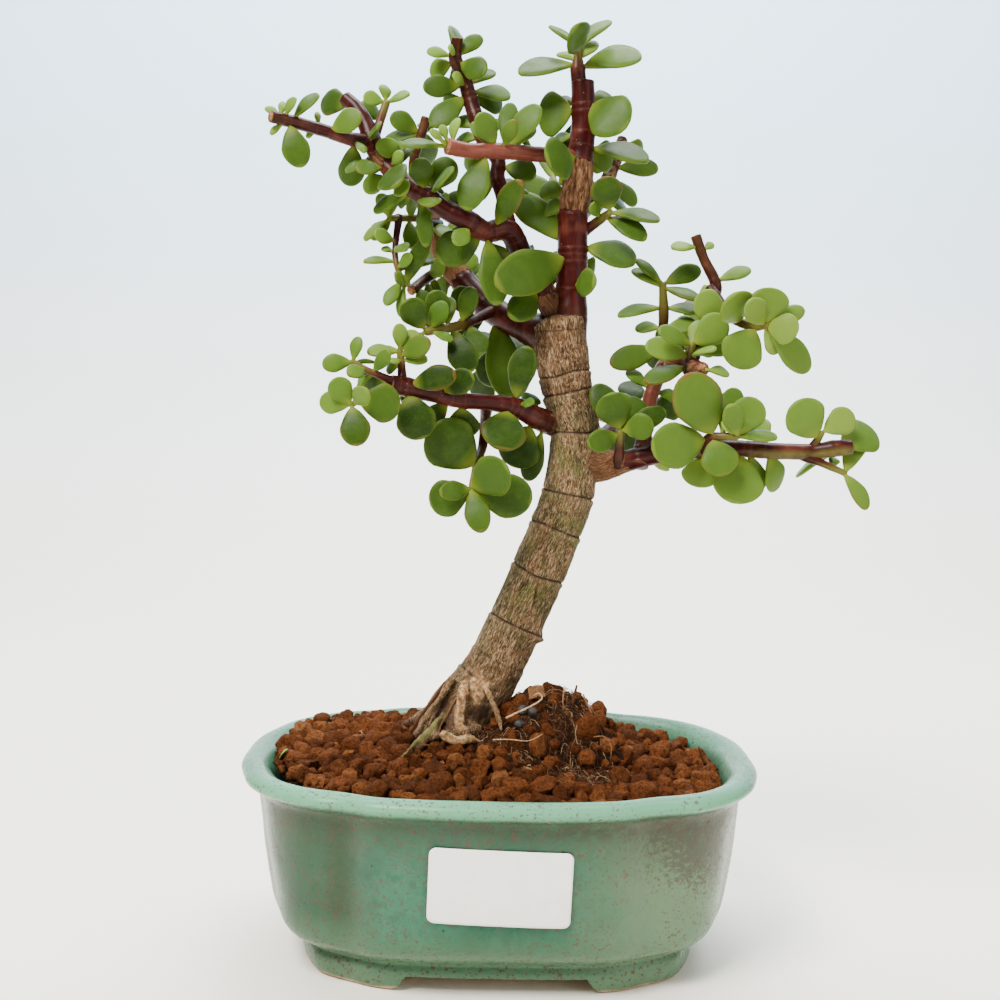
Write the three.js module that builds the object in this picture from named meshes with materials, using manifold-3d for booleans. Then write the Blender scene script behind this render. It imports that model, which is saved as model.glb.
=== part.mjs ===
// Dwarf jade bonsai (Portulacaria afra) in a glazed stoneware pot.
// Millimetres, +Z up, the front of the tree faces -Y.
import * as THREE from "three";
import { mergeVertices } from "three/addons/utils/BufferGeometryUtils.js";
import Module from "manifold-3d";

const wasm = await Module();
wasm.setup();

// ---------------------------------------------------------------- driving dimensions

const GAP = 0.3; // clearance between two pieces that touch

const POT_HALF_WIDTH = 76; // at the widest point of the rim
const POT_DEPTH_STEP = 16.2; // the half depth is smaller than the half width by this
const POT_SQUARENESS = 2.7; // exponent of the rounded-rectangle plan
const POT_FACETS = 32;
const VALLEY_DEPTH = 1.5; // shallow upright valleys between the body's lobes
const VALLEY_WIDTH = 7;
const VALLEY_X = 43;
const VALLEY_Y = 24;
const FLOOR_Z = 12;
// [height, half width]: up the outside from under the foot, over the lip, down the inside
const POT_OUTSIDE = [
  [0, 56.2], [3.6, 56.6], [4.8, 59.8], [9.5, 64], [15, 66.1], [30, 68.8], [45, 70.8],
  [48.8, 71.8], [50.6, 74.4],
];
const POT_LIP = [[53.5, POT_HALF_WIDTH], [56.8, 75.6], [59, 73], [58.4, 70]];
const POT_INSIDE = [[55.5, 68.2], [46, 64.5], [17, 57.5], [FLOOR_Z, 53]];
const FOOT_RING_WIDTH = 8;
const FOOT_RECESS_Z = 7;
const FOOT_ARCH_Z = 3.6;
const FOOT_ARCH_HALF_X = 25.5; // half length of the opening under the front and the back
const FOOT_ARCH_HALF_Y = 14; // the same under the two ends
const DRAIN_X = 26;
const DRAIN_RADIUS = 6;
const DRAIN_SIDES = 12;

const SCREEN_SIZE = 18;
const SCREEN_THICKNESS = 0.8;
const SCREEN_MESH = 3.2; // side of one opening of the drain screen
const SCREEN_PITCH = 5.2;

const LABEL_WIDTH = 38.1;
const LABEL_HEIGHT = 21.2;
const LABEL_THICKNESS = 0.6;
const LABEL_CENTRE = [0.5, 34.5]; // x, z on the front of the pot
const LABEL_CORNER = 2;
const LABEL_TILT = -0.03;

const SOIL_COLUMNS = 15;
const SOIL_ROWS = 11;
const SOIL_CORNER = 0.41; // how far the soil's corners are drawn in
const SOIL_EDGE_Z = 50;
const SOIL_EDGE_GAP = 0.8;
const SOIL_FOOT_LEVELS = [17, FLOOR_Z + GAP];
const SOIL_SEED = 41;
const GRANULE_RISE = 2.4; // how far a granule stands out of the soil
const GRANULE_STRAY = 0.05; // and how far it strays from the grid, in half widths
const SOIL_MIDDLE_Z = 56.3;
const SOIL_FALL_X = -0.045; // the soil falls to the right and to the front
const SOIL_FALL_Y = 0.02;
const MOUND = { x: -4, y: 0, rise: 11.5, reach: 27 };

// The old root ball, a fibrous mound beside the trunk
const ROOT_BALL = { x: 14, y: 0, halfX: 27, halfY: 23, foot: 44, crown: 76.5 };
const ROOT_BALL_LEVELS = [0, 0.55, 0.75, 0.93];
const ROOT_BALL_SIDES = 10;
const ROOT_BALL_SLOPE = 1.7; // exponent of its flank: more makes the crown flatter
const ROOT_BALL_ROUGH = 0.16;
const ROOT_BALL_JITTER = 1.6;
const ROOT_BALL_SEED = 77;
const PELLET_RADIUS = 1.6;
const PELLETS = [[6.5, -9.5], [9.5, -11], [5.5, -12.5]]; // x, y of the feed pellets

// Trunk centreline: [x, y, z, radius]
const TRUNK = [
  [-15, -1, 50, 7.5], [-14, -1, 60, 9.5], [-11.5, 0, 69, 9.6], [-4, 0, 80, 8.9], [4, 0, 96.5, 8.2],
  [10.5, 0, 112, 8.1], [15.5, 0, 125, 7.9], [19, 0, 136, 7.8], [21, 0, 154.5, 7.1],
  [18.4, 0, 166, 7.5], [16.3, 0, 177, 8.1], [15.4, 0, 187.5, 8],
];
const TRUNK_SIDES = 10;
const TRUNK_LEVELS = [50, 57, 64, 70, 75.5, 81, 91, 104, 118, 145, 160, 178, 187.5];
const FLARE_TOP = 86; // the trunk swells into its roots below this height
const FLARE_BOTTOM = 62;
const FLARE_SWELL = 0.34;
const FLARE_LOBES = 5;
// Old leaf-ring scars that go round the trunk, by height on its centreline
const RING_SCARS = [86.5, 97, 112, 125.5, 136, 154.5, 166, 171.5, 184];
const SCAR_DEPTH = 0.6;
const SCAR_HALF_WIDTH = 1.2;
const ROOTS = [
  [[-10, -5, 78, 2.4], [-13.5, -11, 70, 2.4], [-13.5, -14.5, 63, 1.6], [-12, -17, 57, 1]],
  [[-13, -3, 75, 3.6], [-20, -4, 67.5, 2.8], [-26, -6, 61, 1.7], [-31, -7, 56, 1]],
  [[-6, -10, 67, 1.6], [-12, -15, 66, 1.4], [-19, -14.5, 65, 1.2], [-26, -12, 58, 0.9]],
  [[-16, -8, 71, 1.2], [-20, -14, 66, 1], [-25, -20, 61, 0.9], [-28, -24, 56, 0.8]],
  [[-9, 5, 76, 3.4], [-10, 15, 69, 2.4], [-7, 24, 62, 1.6], [-4, 31, 56, 1]],
  [[-14, 3, 74, 3.2], [-22, 9, 67, 2.2], [-30, 14, 61, 1.4], [-35, 17, 55, 0.9]],
];

const STEM_STEP = 11; // length of one stem facet
const THICK_STEM = 2.2; // stems with a greater radius get six sides, the others five
const LEAF_ROOT_HALF_WIDTH = 0.6;
const LEAF_THICKNESS = 1.1; // plus LEAF_FLESH of the leaf's length
const LEAF_FLESH = 0.05;
const LEAF_ARCH = 0.04; // rise of the blade's middle, as a share of its length
const BLADE_FULLNESS = 1.42; // how soon a blade widens from its root
const BLADE_TAPER = 0.55;
const BLADE_SHOULDER = 0.55; // from here on the blade rounds off to its tip
const BIG_LEAF = 25; // longer leaves get one more pair of rim points
const SMALL_LEAF = 13; // shorter leaves get one pair fewer
const LEAF_AIR = 0.5; // least clearance between blades of two nodes
const LEAF_PACKING = 0.5; // how near blades of one node may come, as a share of their thickness

// Every leafy shoot of the tree. A stem is a list of [x, y, z, radius]. A leaf is
// [x, z, dx, dy, dz, width, face]: where it leaves the stem as seen from the front, the way
// to its tip, the blade's width, and how far its upper side is turned up from the front.
const SHOOTS = [
  {
    node: "leader", name: "leader",
    stem: [
      [18.5, 0, 188.5, 4.8], [19, 0, 203.5, 4.5], [19, 0, 218.5, 4.4], [20, 0, 226, 4.5],
      [20.5, 0, 233, 4.1], [21, 0, 237.5, 3.7], [21.5, 0, 246, 3.6], [21, 0, 257, 3.4],
    ],
    leaves: [
      [19, 249, -11, 4, -1, 14.5, 10], [19, 250, -7, 8, 5, 5, 30], [23, 251, 7, 7, 4, 5, 30],
      [23, 251, 10, -10, -9, 14.5, 0], [20, 242, -8, 5, -2, 7, 50], [19, 240, -10, 10, 1, 5.5, 30],
      [25, 238, 16, -2, -3, 11, 50], [24, 210, 14, 0, -5, 11, 35], [17, 198, 8, -17, -1, 8.5, 0],
      [15, 207, -21, -17, -13, 13.5, 0], [15, 208, -13, -2, 20, 10, 10], [14, 205, -7, 2, -10, 7, 30],
      [18, 224, -8, 7, 2, 7, 20], [17, 218, -6, 6, 3, 7.5, 20], [23, 226, 4, 7, 0, 6.5, 20],
    ],
  },
  {
    node: "leader", name: "top_shoot",
    stem: [
      [20, 0, 256, 1.9], [19.5, 0, 260.5, 2.3], [19.5, 0, 263.5, 1.4], [19.5, 0, 267.5, 1.2],
    ],
    leaves: [
      [19, 262, -17, -4, -3, 11, 50], [21, 261, 17, 0, 5, 12, 45], [19, 263, -5, 6, 4, 5, 40],
      [21, 263, 4, 6, 5, 5, 30], [19, 266, -1, -17, 1, 10, 0], [18, 267, -7, 5, 7, 5.5, 55],
      [21, 267, 8, 4, 9, 7, 50],
    ],
  },
  {
    node: "twig_front", name: "twig_front",
    stem: [
      [19.5, -3, 234.5, 2.4], [8.5, -6.5, 234.5, 2.2], [-2.5, -13, 234, 2.3], [-11.5, -17.5, 233, 2.1],
      [-17.5, -21, 233.5, 2.3],
    ],
    leaves: [
      [19, 234, -10, -11, -3, 13, 0], [-19, 235, -11, -4, -2, 7, 60], [-18, 235, -4, -4, 2, 2.5, 20],
      [-17, 235, -2, -2, 4, 3, 30], [-16, 235, 1, 2, 7, 4, 40], [-4, 237, -5, -6, 6, 7, 10],
      [-4, 237, -7, 1, 5, 6, 35], [-2, 238, 10, -1, 9, 8.5, 25], [-3, 237, 4, -7, 4, 4.5, 10],
      [-2, 237, 2, 7, 12, 6, 10], [-1, 237, 7, 5, 6, 7.5, 30], [7, 236, -2, 0, 8, 5, 60],
      [-6, 232, -6, -5, -16, 9.5, 20], [-7, 231, -6, 6, -1, 5.5, 20],
    ],
  },
  {
    node: "shoot_up", name: "shoot_up",
    stem: [
      [-0.5, -7, 213, 2.5], [-1.5, -6.5, 221.5, 2.3], [-3.5, -5, 228, 2.2], [-3.5, -3, 233.5, 2.2],
      [-7.5, 0, 239, 2.2], [-10, 1.5, 246, 2.3], [-12, 3, 252, 2.3], [-14, 3, 258.5, 2.1],
      [-16.5, 1.5, 263.5, 2], [-16, 0, 269, 1.7],
    ],
    leaves: [
      [-18, 264, -7, -1, 1, 4.5, 30], [-15, 264, -3, -6, 1, 3.5, 45], [-14, 264, 5, 2, 7, 5.5, 15],
      [-15, 263, 8, -7, -5, 7.5, 0], [-12, 256, 7, 5, 6, 5.5, 35], [-11, 255, 11, 0, -2, 7.5, 40],
      [-17, 263, -7, 5, -3, 7, 15], [-17, 255, -9, -2, 0, 7, 5], [-17, 254, 1, -6, 4, 4.5, 40],
      [-15, 253, -8, -4, -10, 8.5, 20], [-11, 243, -5, 5, 4, 5.5, 20], [-9, 240, -7, 6, 1, 5, 30],
      [-3, 232, 10, -2, -5, 8.5, 20],
    ],
  },
  {
    node: "limb_fork", name: "limb_fork",
    stem: [
      [13, 0, 192, 3.6], [5, -2.5, 204, 3.3], [0, -7, 212.5, 3.3], [-6.5, -11, 211.5, 3],
      [-11.5, -14.5, 214, 3], [-17, -14.5, 216.5, 2.9], [-22.5, -14.5, 220, 2.8],
      [-27.5, -14.5, 222.5, 2.5], [-33.5, -13, 227.5, 2.4], [-37.5, -11, 232, 2.4],
      [-39.5, -9.5, 236.5, 2.9], [-41.5, -8, 241.5, 2.5], [-44.5, -6.5, 246.5, 2.3],
      [-48, -5, 250, 2.1],
    ],
    leaves: [
      [-6, 216, 9, -12, 8, 7.5, 15], [9, 197, -9, -11, -12, 9, 0], [-6, 210, -14, -4, -7, 11, 5],
      [-7, 210, 1, -6, -20, 9, 15], [-5, 210, 1, 0, -9, 5.5, 40], [-8, 216, -7, -6, -9, 5.5, 5],
      [-23, 223, -2, -7, 7, 7, 0], [-22, 223, 6, -1, 8, 8.5, 10], [-22, 222, 10, -6, 2, 7, 50],
      [-21, 222, 4, -1, -2, 4, 20], [-20, 221, 8, 6, 0, 5.5, 20], [-35, 229, 0, -2, 8, 7, 15],
      [-35, 229, 4, 2, 8, 5.5, 30], [-34, 229, 4, -6, 3, 4, 15], [-39, 230, -8, -2, -2, 5, 50],
      [-36, 228, -7, -6, -1, 6, 30], [-35, 228, 9, -13, -8, 10.5, 0], [-34, 225, -8, 1, -2, 6.5, 15],
      [-33, 228, 4, 7, 9, 5, 20], [-27, 218, 4, -5, -12, 5, 15], [-29, 219, -10, 7, -2, 5, 30],
    ],
  },
  {
    node: "twig_left", name: "twig_left",
    stem: [
      [-41, -9.5, 236.5, 2.1], [-47, -13, 237, 1.9], [-52.5, -14.5, 238.5, 1.8],
      [-61.5, -19, 240, 1.8], [-66.5, -22.5, 240.5, 1.7],
    ],
    leaves: [
      [-62, 239, 4, -2, -12, 8, 5], [-61, 242, 7, 0, 6, 6, 45], [-63, 242, 3, -2, 4, 4, 40],
      [-63, 242, -5, -1, 2, 3, 40], [-64, 242, -2, 4, 4, 2.5, 30], [-63, 238, -4, 0, -2, 2.5, 30],
      [-52, 239, 10, -5, 3, 7.5, 15], [-54, 240, -1, 2, 4, 2, 20], [-54, 238, -4, 2, -1, 2.5, 30],
      [-45, 235, -1, 4, -12, 8, 10], [-45, 235, 2, -2, -5, 3.5, 40],
    ],
  },
  {
    node: "twig_tall", name: "twig_tall",
    stem: [
      [-39, -8, 238.5, 1.3], [-36, -6.5, 248.5, 1.2],
    ],
    leaves: [
      [-36, 248, -7, -1, 1, 5, 10], [-36, 248, -1, 2, 6, 4.5, 45], [-35, 248, 6, -4, 2, 5, 45],
    ],
  },
  {
    node: "limb_left", name: "limb_left",
    stem: [
      [12.5, 1.5, 183, 4.4], [4, 8, 186.5, 4.3], [-5, 13, 191.5, 4.2], [-11.5, 16, 197.5, 4],
      [-18, 19, 206, 3.9], [-22, 21, 214, 3.5], [-25, 21, 221, 2.8], [-28.5, 21, 228.5, 1.7],
      [-30, 21, 236, 1.4], [-28, 21, 243.5, 1.5], [-26, 21, 250.5, 1.6],
    ],
    leaves: [
      [-30, 246, -7, -1, 5, 6.5, 5], [-30, 246, -10, -2, 0, 6, 30], [-29, 246, 2, 2, 4, 4, 40],
      [-28, 245, 4, 4, 5, 4, 30], [-7, 187, 8, -6, -23, 12, 10], [-21, 203, -3, 5, -8, 6, 20],
      [-25, 223, 5, 2, 4, 4.5, 20], [-24, 220, 8, -2, 3, 4, 15], [-22, 216, 0, 4, 8, 4, 30],
      [-21, 214, 6, -4, 4, 4.5, 20], [-20, 210, 7, 0, 3, 5, 30], [-18, 207, 9, -2, -1, 6, 20],
      [-14, 201, 8, 4, 0, 6, 30],
    ],
  },
  {
    node: "twig_inner", name: "twig_inner",
    stem: [
      [-20, 19, 204.5, 1.8], [-25, 8, 199.5, 1.6], [-28.5, 0, 195.5, 1.5],
    ],
    leaves: [
      [-25, 200, 2, -1, -10, 5, 30], [-21, 200, -2, 4, -9, 6, 30], [-28, 196, -5, 4, 4, 4.5, 30],
    ],
  },
  {
    node: "twig_centre", name: "twig_centre",
    stem: [
      [-4, 11, 191, 1.7], [-13.5, -6.5, 185, 1.5], [-23, -14.5, 182.5, 1.3],
    ],
    leaves: [
      [-24, 183, -5, -4, 8, 8.5, 5], [-22, 183, 4, -2, 8, 6, 15], [-13, 185, 3, -2, 11, 6.5, 20],
      [-22, 182, 7, 0, -1, 4, 50], [-6, 189, -9, -5, -6, 6.5, 10], [-16, 184, 6, -4, -13, 9, 0],
      [-23, 182, -7, 0, -4, 5, 20], [-17, 184, 0, 5, 9, 5.5, 20],
    ],
  },
  {
    node: "twig_low", name: "twig_low",
    stem: [
      [-22, 19, 218, 1.3], [-26.5, 6.5, 217.5, 1.2], [-35, -3, 216, 1],
    ],
    leaves: [
      [-36, 216, -2, -1, 7, 5, 25], [-35, 216, 1, 4, 7, 4.5, 20], [-33, 215, 3, -4, 5, 4.5, 20],
      [-36, 215, -6, -2, -6, 4.5, 45], [-34, 214, -5, 2, -5, 5.5, 20], [-33, 215, -3, -5, -5, 4, 20],
    ],
  },
  {
    node: "twig_low", name: "twig_hanging",
    stem: [
      [-32.5, -0.5, 216, 1.1], [-33, -5.5, 206.5, 0.9], [-32, -8, 201, 0.9], [-30, -8, 196, 0.8],
    ],
    leaves: [
      [-33, 203, -9, -1, 0, 4.5, 60], [-33, 206, -4, 0, 1, 3, 55], [-28, 197, 1, -4, 14, 5.5, 15],
      [-30, 196, -3, -2, 6, 3.5, 30], [-31, 201, 9, 2, 4, 4.5, 50], [-32, 197, -3, -1, -8, 4.5, 10],
      [-30, 196, -2, -5, -8, 3.5, 30],
    ],
  },
  {
    node: "branch_low", name: "branch_low",
    stem: [
      [11.5, -5, 157, 3.6], [4, -9.5, 161, 3], [-4.5, -14.5, 162.5, 2.3], [-13, -17.5, 163, 2.3],
      [-21.5, -21, 165, 2.6], [-28.5, -24, 166.5, 2.8], [-32, -25.5, 167, 2.6],
    ],
    leaves: [
      [-28, 168, 14, -5, 2, 7.5, 10], [-19, 163, 10, -6, 7, 7.5, 10], [-29, 164, 6, -2, -12, 11.5, 0],
      [-13, 162, 1, 4, -10, 10.5, 5], [1, 162, -4, -11, -12, 13.5, 0], [8, 157, -6, 4, -13, 13, 5],
      [10, 154, -2, 8, -13, 7, 10], [11, 155, -1, -2, 5, 3.5, 20], [5, 163, 5, 7, 5, 6.5, 15],
      [3, 164, 5, -4, -1, 4, 55], [3, 164, 3, -2, 15, 8.5, 10],
    ],
  },
  {
    node: "branch_low", name: "twig_drop",
    stem: [
      [-5.5, -14.5, 162, 1.7], [-6, -9, 156, 1.5], [-6.5, -9, 150, 1.4], [-8, -14.5, 145, 1.2],
      [-9.5, -19, 138, 0.8],
    ],
    leaves: [
      [-9, 144, -12, -2, 12, 16, 0], [-10, 138, -8, -6, -1, 6, 10], [-9, 137, -12, -1, -4, 11, 0],
      [-9, 138, 10, -7, 7, 12.5, 0], [-8, 138, 16, 2, -3, 13, 0], [-9, 137, 3, -6, -11, 7.5, 0],
    ],
  },
  {
    node: "twig_low_up", name: "twig_low_up",
    stem: [
      [-29, -24, 167.5, 1.3], [-29.5, -22.5, 173, 1.1], [-30, -22.5, 176.5, 0.9],
    ],
    leaves: [
      [-30, 177, 0, -2, 7, 4.5, 15], [-29, 177, 4, 1, 5, 5.5, 15], [-29, 175, 8, -6, 4, 6.5, 10],
      [-29, 174, 7, -1, 0, 4.5, 45], [-31, 176, -8, -2, 0, 5.5, 50], [-31, 177, -7, 4, 1, 3.5, 50],
      [-29, 174, -3, -5, -1, 3, 50], [-30, 173, -4, 4, -2, 4, 35],
    ],
  },
  {
    node: "branch_low_end", name: "twig_low_left",
    stem: [
      [-30.5, -25.5, 167.5, 1.2], [-35.5, -27, 169.5, 1], [-39, -27, 171, 0.9], [-42.5, -27, 173, 0.7],
    ],
    leaves: [
      [-37, 170, 5, -5, 6, 4.5, 15], [-43, 173, -8, -1, -1, 5.5, 10], [-43, 173, 2, 0, 7, 4, 20],
      [-42, 173, 3, 2, 6, 3, 45], [-39, 172, -7, -5, -3, 5, 20], [-37, 169, -5, 4, -3, 3, 40],
    ],
  },
  {
    node: "branch_low_end", name: "twig_low_front",
    stem: [
      [-31, -25.5, 166.5, 1.2], [-37.5, -29, 164.5, 1], [-42, -33.5, 161, 0.8],
    ],
    leaves: [
      [-43, 162, -4, -2, 6, 7, 0], [-43, 162, -8, -2, 0, 6.5, 0], [-42, 162, 5, -7, 3, 6, 0],
      [-40, 161, 11, 2, 0, 11, 0], [-42, 160, 2, -4, -10, 8.5, 0],
    ],
  },
  {
    node: "branch_right", name: "branch_right",
    stem: [
      [26.5, 0, 145.5, 3.9], [32, -1.5, 145, 3.4], [42.5, -6.5, 148, 3.1], [53.5, -11, 150, 2.9],
      [67.5, -13, 150.5, 2.4], [77.5, -14.5, 150, 2.4], [88, -14.5, 150, 2.3], [94, -16, 151, 2.5],
      [99, -16, 151.5, 2.2],
    ],
    leaves: [
      [48, 148, -3, 4, -5, 6, 10], [57, 151, -1, -1, -12, 11, 0], [69, 150, -4, -5, -15, 15.5, 0],
      [70, 150, 5, 4, -12, 6, 10],
    ],
  },
  {
    node: "branch_right", name: "rosette_mid",
    stem: [
      [57, -13, 150, 1.5], [58, -17.5, 153.5, 1.3], [61.5, -20, 154, 1.2], [65.5, -21, 154, 1],
    ],
    leaves: [
      [59, 155, -9, -7, 16, 14.5, 0], [57, 154, -16, -5, -4, 13.5, 0], [59, 153, 2, -8, -8, 11, 0],
      [61, 154, 5, 5, 14, 7.5, 5], [66, 154, -4, -7, 9, 6.5, 0], [66, 154, 4, -2, 11, 10, 10],
      [66, 154, 10, -4, 0, 6, 60], [66, 154, -5, 4, 2, 4.5, 40], [67, 154, 9, 4, 2, 4.5, 50],
    ],
  },
  {
    node: "branch_right", name: "rosette_trunk",
    stem: [
      [33.5, -5, 146, 1.5], [33.5, -9.5, 155, 1.2],
    ],
    leaves: [
      [33, 155, -3, -4, 11, 11, 0], [33, 156, -7, 5, 12, 8.5, 10], [34, 155, 6, 2, 12, 9.5, 10],
      [34, 155, 8, -6, 2, 8, 5], [36, 155, 10, 6, 5, 6.5, 10], [33, 154, -9, -5, -3, 7, 5],
    ],
  },
  {
    node: "branch_right", name: "twig_end_up",
    stem: [
      [88, -14.5, 150.5, 1.4], [90.5, -16, 155.5, 0.9],
    ],
    leaves: [
      [89, 154, -7, -4, 10, 12.5, 0], [91, 155, 9, 0, 5, 8.5, 5],
    ],
  },
  {
    node: "branch_right", name: "twig_end_low",
    stem: [
      [86.5, -14.5, 148.5, 1.4], [91.5, -16, 146.5, 1.1], [97.5, -16, 144, 0.9],
    ],
    leaves: [
      [98, 144, 6, 10, 13, 7.5, 5], [97, 144, 7, -2, -10, 5.5, 25], [94, 146, 2, 5, 3, 3.5, 20],
    ],
  },
  {
    node: "branch_upper", name: "branch_upper",
    stem: [
      [40, -5, 147.5, 2.5], [42, 0, 157, 2.2], [43.5, 1.5, 166, 2.2], [48, 1.5, 175.5, 2.3],
      [53.5, -6.5, 174.5, 2.1], [56, -16, 173, 2],
    ],
    leaves: [
      [43, 167, -7, 2, 6, 5, 35], [45, 167, 7, 4, -2, 5, 40], [53, 173, -13, -5, -4, 7.5, 45],
      [56, 173, 8, 2, -1, 5, 50],
    ],
  },
  {
    node: "branch_upper", name: "twig_mid",
    stem: [
      [53.5, -6.5, 174, 1.6], [53.5, -9.5, 178.5, 1.3], [53.5, -11, 180.5, 1],
    ],
    leaves: [
      [53, 180, -10, -5, 4, 6.5, 35], [54, 180, 9, 1, 8, 9.5, 0], [55, 178, 11, 5, 2, 6, 20],
      [53, 177, -13, -2, 3, 7.5, 20], [53, 177, 11, -5, -1, 6, 55], [53, 179, 4, 6, 8, 6, 20],
    ],
  },
  {
    node: "branch_upper", name: "twig_straight",
    stem: [
      [47.5, 1.5, 175.5, 1.7], [47, 5, 184, 1.4], [47, 5, 190.5, 1.6], [46.5, 5, 199, 1.1],
    ],
    leaves: [
      [48, 200, -9, -2, 7, 5, 45], [48, 200, 10, 2, 4, 6.5, 15], [46, 198, -9, 1, 5, 6.5, 50],
      [47, 198, 10, -5, -4, 6.5, 50], [46, 192, -13, 0, -2, 7, 55], [48, 192, 10, 0, -1, 6.5, 50],
      [46, 186, -7, 4, 0, 5.5, 45], [47, 186, 10, -2, 1, 7, 40], [46, 180, -15, 1, -6, 8, 15],
    ],
  },
  {
    node: "branch_upper", name: "twig_cut",
    stem: [
      [54, -5, 174.5, 1.9], [58, -1.5, 185, 1.8], [61, 0, 194, 1.8], [61.5, 0, 199, 1.7],
      [58, 1.5, 206.5, 1.5], [55.5, 1.5, 213, 1.6],
    ],
    leaves: [
      [58, 210, -10, -2, -1, 5.5, 50], [58, 209, 3, 1, 2, 3, 30], [62, 200, 10, 0, 3, 6, 45],
      [61, 198, -5, 2, -2, 4.5, 35],
    ],
  },
  {
    node: "rosette_right", name: "rosette_right",
    stem: [
      [60.5, -1.5, 196.5, 1.4], [65.5, -8, 188.5, 1.5], [70, -14.5, 185.5, 1.4],
      [73.5, -19, 185.5, 0.9],
    ],
    leaves: [
      [74, 185, 13, 6, -12, 8.5, 10], [64, 189, -9, -5, 4, 9.5, 0], [68, 188, -9, -8, 9, 11.5, 0],
      [73, 186, 1, 2, 10, 11.5, 0], [73, 185, -6, -6, 7, 7.5, 0], [73, 185, 9, -4, -1, 9, 0],
      [75, 187, 10, 5, 4, 5.5, 10], [73, 184, 5, -4, -5, 6, 15], [71, 185, -5, -5, -11, 12.5, 0],
      [71, 185, 9, 10, 7, 6, 10],
    ],
  },
  {
    node: "twig_behind", name: "twig_behind",
    stem: [
      [21.5, 5, 220, 2.5], [28, 14.5, 228, 2.3], [31.5, 19, 235, 2.1], [35, 22.5, 245.5, 1.6],
    ],
    leaves: [
      [33, 235, 13, -1, 1, 7, 25], [32, 233, 7, -1, -9, 6.5, 35], [31, 235, -6, -2, 2, 6.5, 20],
    ],
  },
  {
    node: "twig_side", name: "twig_side",
    stem: [
      [20.5, 3, 212.5, 1.7], [27, -1.5, 217, 1.4], [29.5, -5, 218.5, 1],
    ],
    leaves: [
      [30, 218, -3, -4, 10, 10, 5], [30, 218, 14, -1, -2, 7.5, 50], [28, 218, 12, -5, -7, 7.5, 30],
      [27, 217, -3, -4, 4, 4.5, 15],
    ],
  },
  {
    node: "shoot_back_high", name: "shoot_back_high",
    stem: [
      [19.5, 2, 216, 2.3], [18, 14, 222.5, 2], [15.5, 26, 229.5, 1.7], [14, 36, 235, 1.3],
    ],
    leaves: [

    ],
  },
  {
    node: "shoot_back_low", name: "shoot_back_low",
    stem: [
      [15, 4, 178, 2.5], [9, 18, 177, 2.1], [0.5, 32, 177, 1.7], [-5.5, 44, 176, 1.3],
    ],
    leaves: [

    ],
  },
  {
    node: "shoot_back_right", name: "shoot_back_right",
    stem: [
      [25.5, 5, 149.5, 2.3], [33, 20, 155.5, 2], [39.5, 34, 161.5, 1.4],
    ],
    leaves: [

    ],
  },
  {
    node: "shoot_back_upper", name: "shoot_back_upper",
    stem: [
      [48.5, 3, 175, 1.8], [54, 16, 181.5, 1.6], [59, 28, 187, 1.2],
    ],
    leaves: [

    ],
  },
];

// Pairs of leaves on the far side: [shoot, first and last place along it, pairs, leaf length]
const FAR_PAIRS = [
  ["leader", 0.15, 0.9, 4, 12], ["limb_fork", 0.1, 0.95, 5, 12], ["limb_left", 0.35, 0.95, 4, 12],
  ["shoot_up", 0.2, 0.9, 4, 11], ["branch_low", 0.2, 0.9, 3, 13], ["branch_right", 0.3, 0.9, 3, 14],
  ["branch_upper", 0.3, 0.9, 2, 12], ["twig_behind", 0.3, 0.9, 3, 12],
  ["shoot_back_high", 0.4, 1, 4, 13], ["shoot_back_low", 0.4, 1, 4, 13],
  ["shoot_back_right", 0.4, 1, 4, 13], ["shoot_back_upper", 0.4, 1, 4, 12],
];
const FAR_SEED = 20261;
const FAR_STRAY = 0.8; // spread of a far leaf's heading about its pair's, in radians
const FAR_LENGTH = [0.75, 0.5]; // least share of the row's leaf length, and what a draw adds
const FAR_BACK = [0.55, 0.4]; // the same for how far back it points
const FAR_WIDTH = [0.66, 0.14]; // the same for its width
const FAR_FACE = [-30, 90];
const FAR_REACH = 0.8; // share of its length that it reaches sideways

// Ways a leaf may bend to clear the others, tried in turn: degrees sideways and upward
const SWINGS = [
  [0, 0], [0, 8], [0, -8], [0, 16], [0, -16], [8, 0], [-8, 0], [0, 24], [0, -24], [8, 16], [-8, 16],
  [8, -16], [-8, -16], [16, 0], [-16, 0], [0, 32], [0, -32], [16, 24], [-16, 24], [16, -24],
  [-16, -24], [0, 42], [0, -42], [28, 0], [-28, 0], [28, 32], [-28, 32], [28, -32], [-28, -32],
  [0, 55], [0, -55],
];

// ---------------------------------------------------------------- solids

const UP = new THREE.Vector3(0, 0, 1);
const FRONT = new THREE.Vector3(0, -1, 0);

function vector(point) {
  return new THREE.Vector3(point[0], point[1], point[2]);
}

// Positions and triangles -> BufferGeometry
function faceted(points, triangles) {
  const geometry = new THREE.BufferGeometry();
  const flat = new Float32Array(points.flatMap((point) => [point.x, point.y, point.z]));
  geometry.setAttribute("position", new THREE.BufferAttribute(flat, 3));
  geometry.setIndex(triangles.flat());
  return geometry;
}

function solidOf(geometry) {
  const bare = geometry.clone();
  bare.deleteAttribute("normal");
  bare.deleteAttribute("uv");
  const merged = mergeVertices(bare, 1e-4);
  return new wasm.Manifold(new wasm.Mesh({
    numProp: 3,
    vertProperties: new Float32Array(merged.attributes.position.array),
    triVerts: new Uint32Array(merged.index.array),
  }));
}

function geometryOf(solid) {
  const mesh = solid.getMesh();
  const geometry = new THREE.BufferGeometry();
  const positions = new Float32Array(mesh.vertProperties);
  geometry.setAttribute("position", new THREE.BufferAttribute(positions, 3));
  geometry.setIndex(new THREE.BufferAttribute(new Uint32Array(mesh.triVerts), 1));
  geometry.computeVertexNormals();
  return geometry;
}

function joined(solids) {
  return solids.reduce((sum, solid) => sum.add(solid));
}

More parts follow.
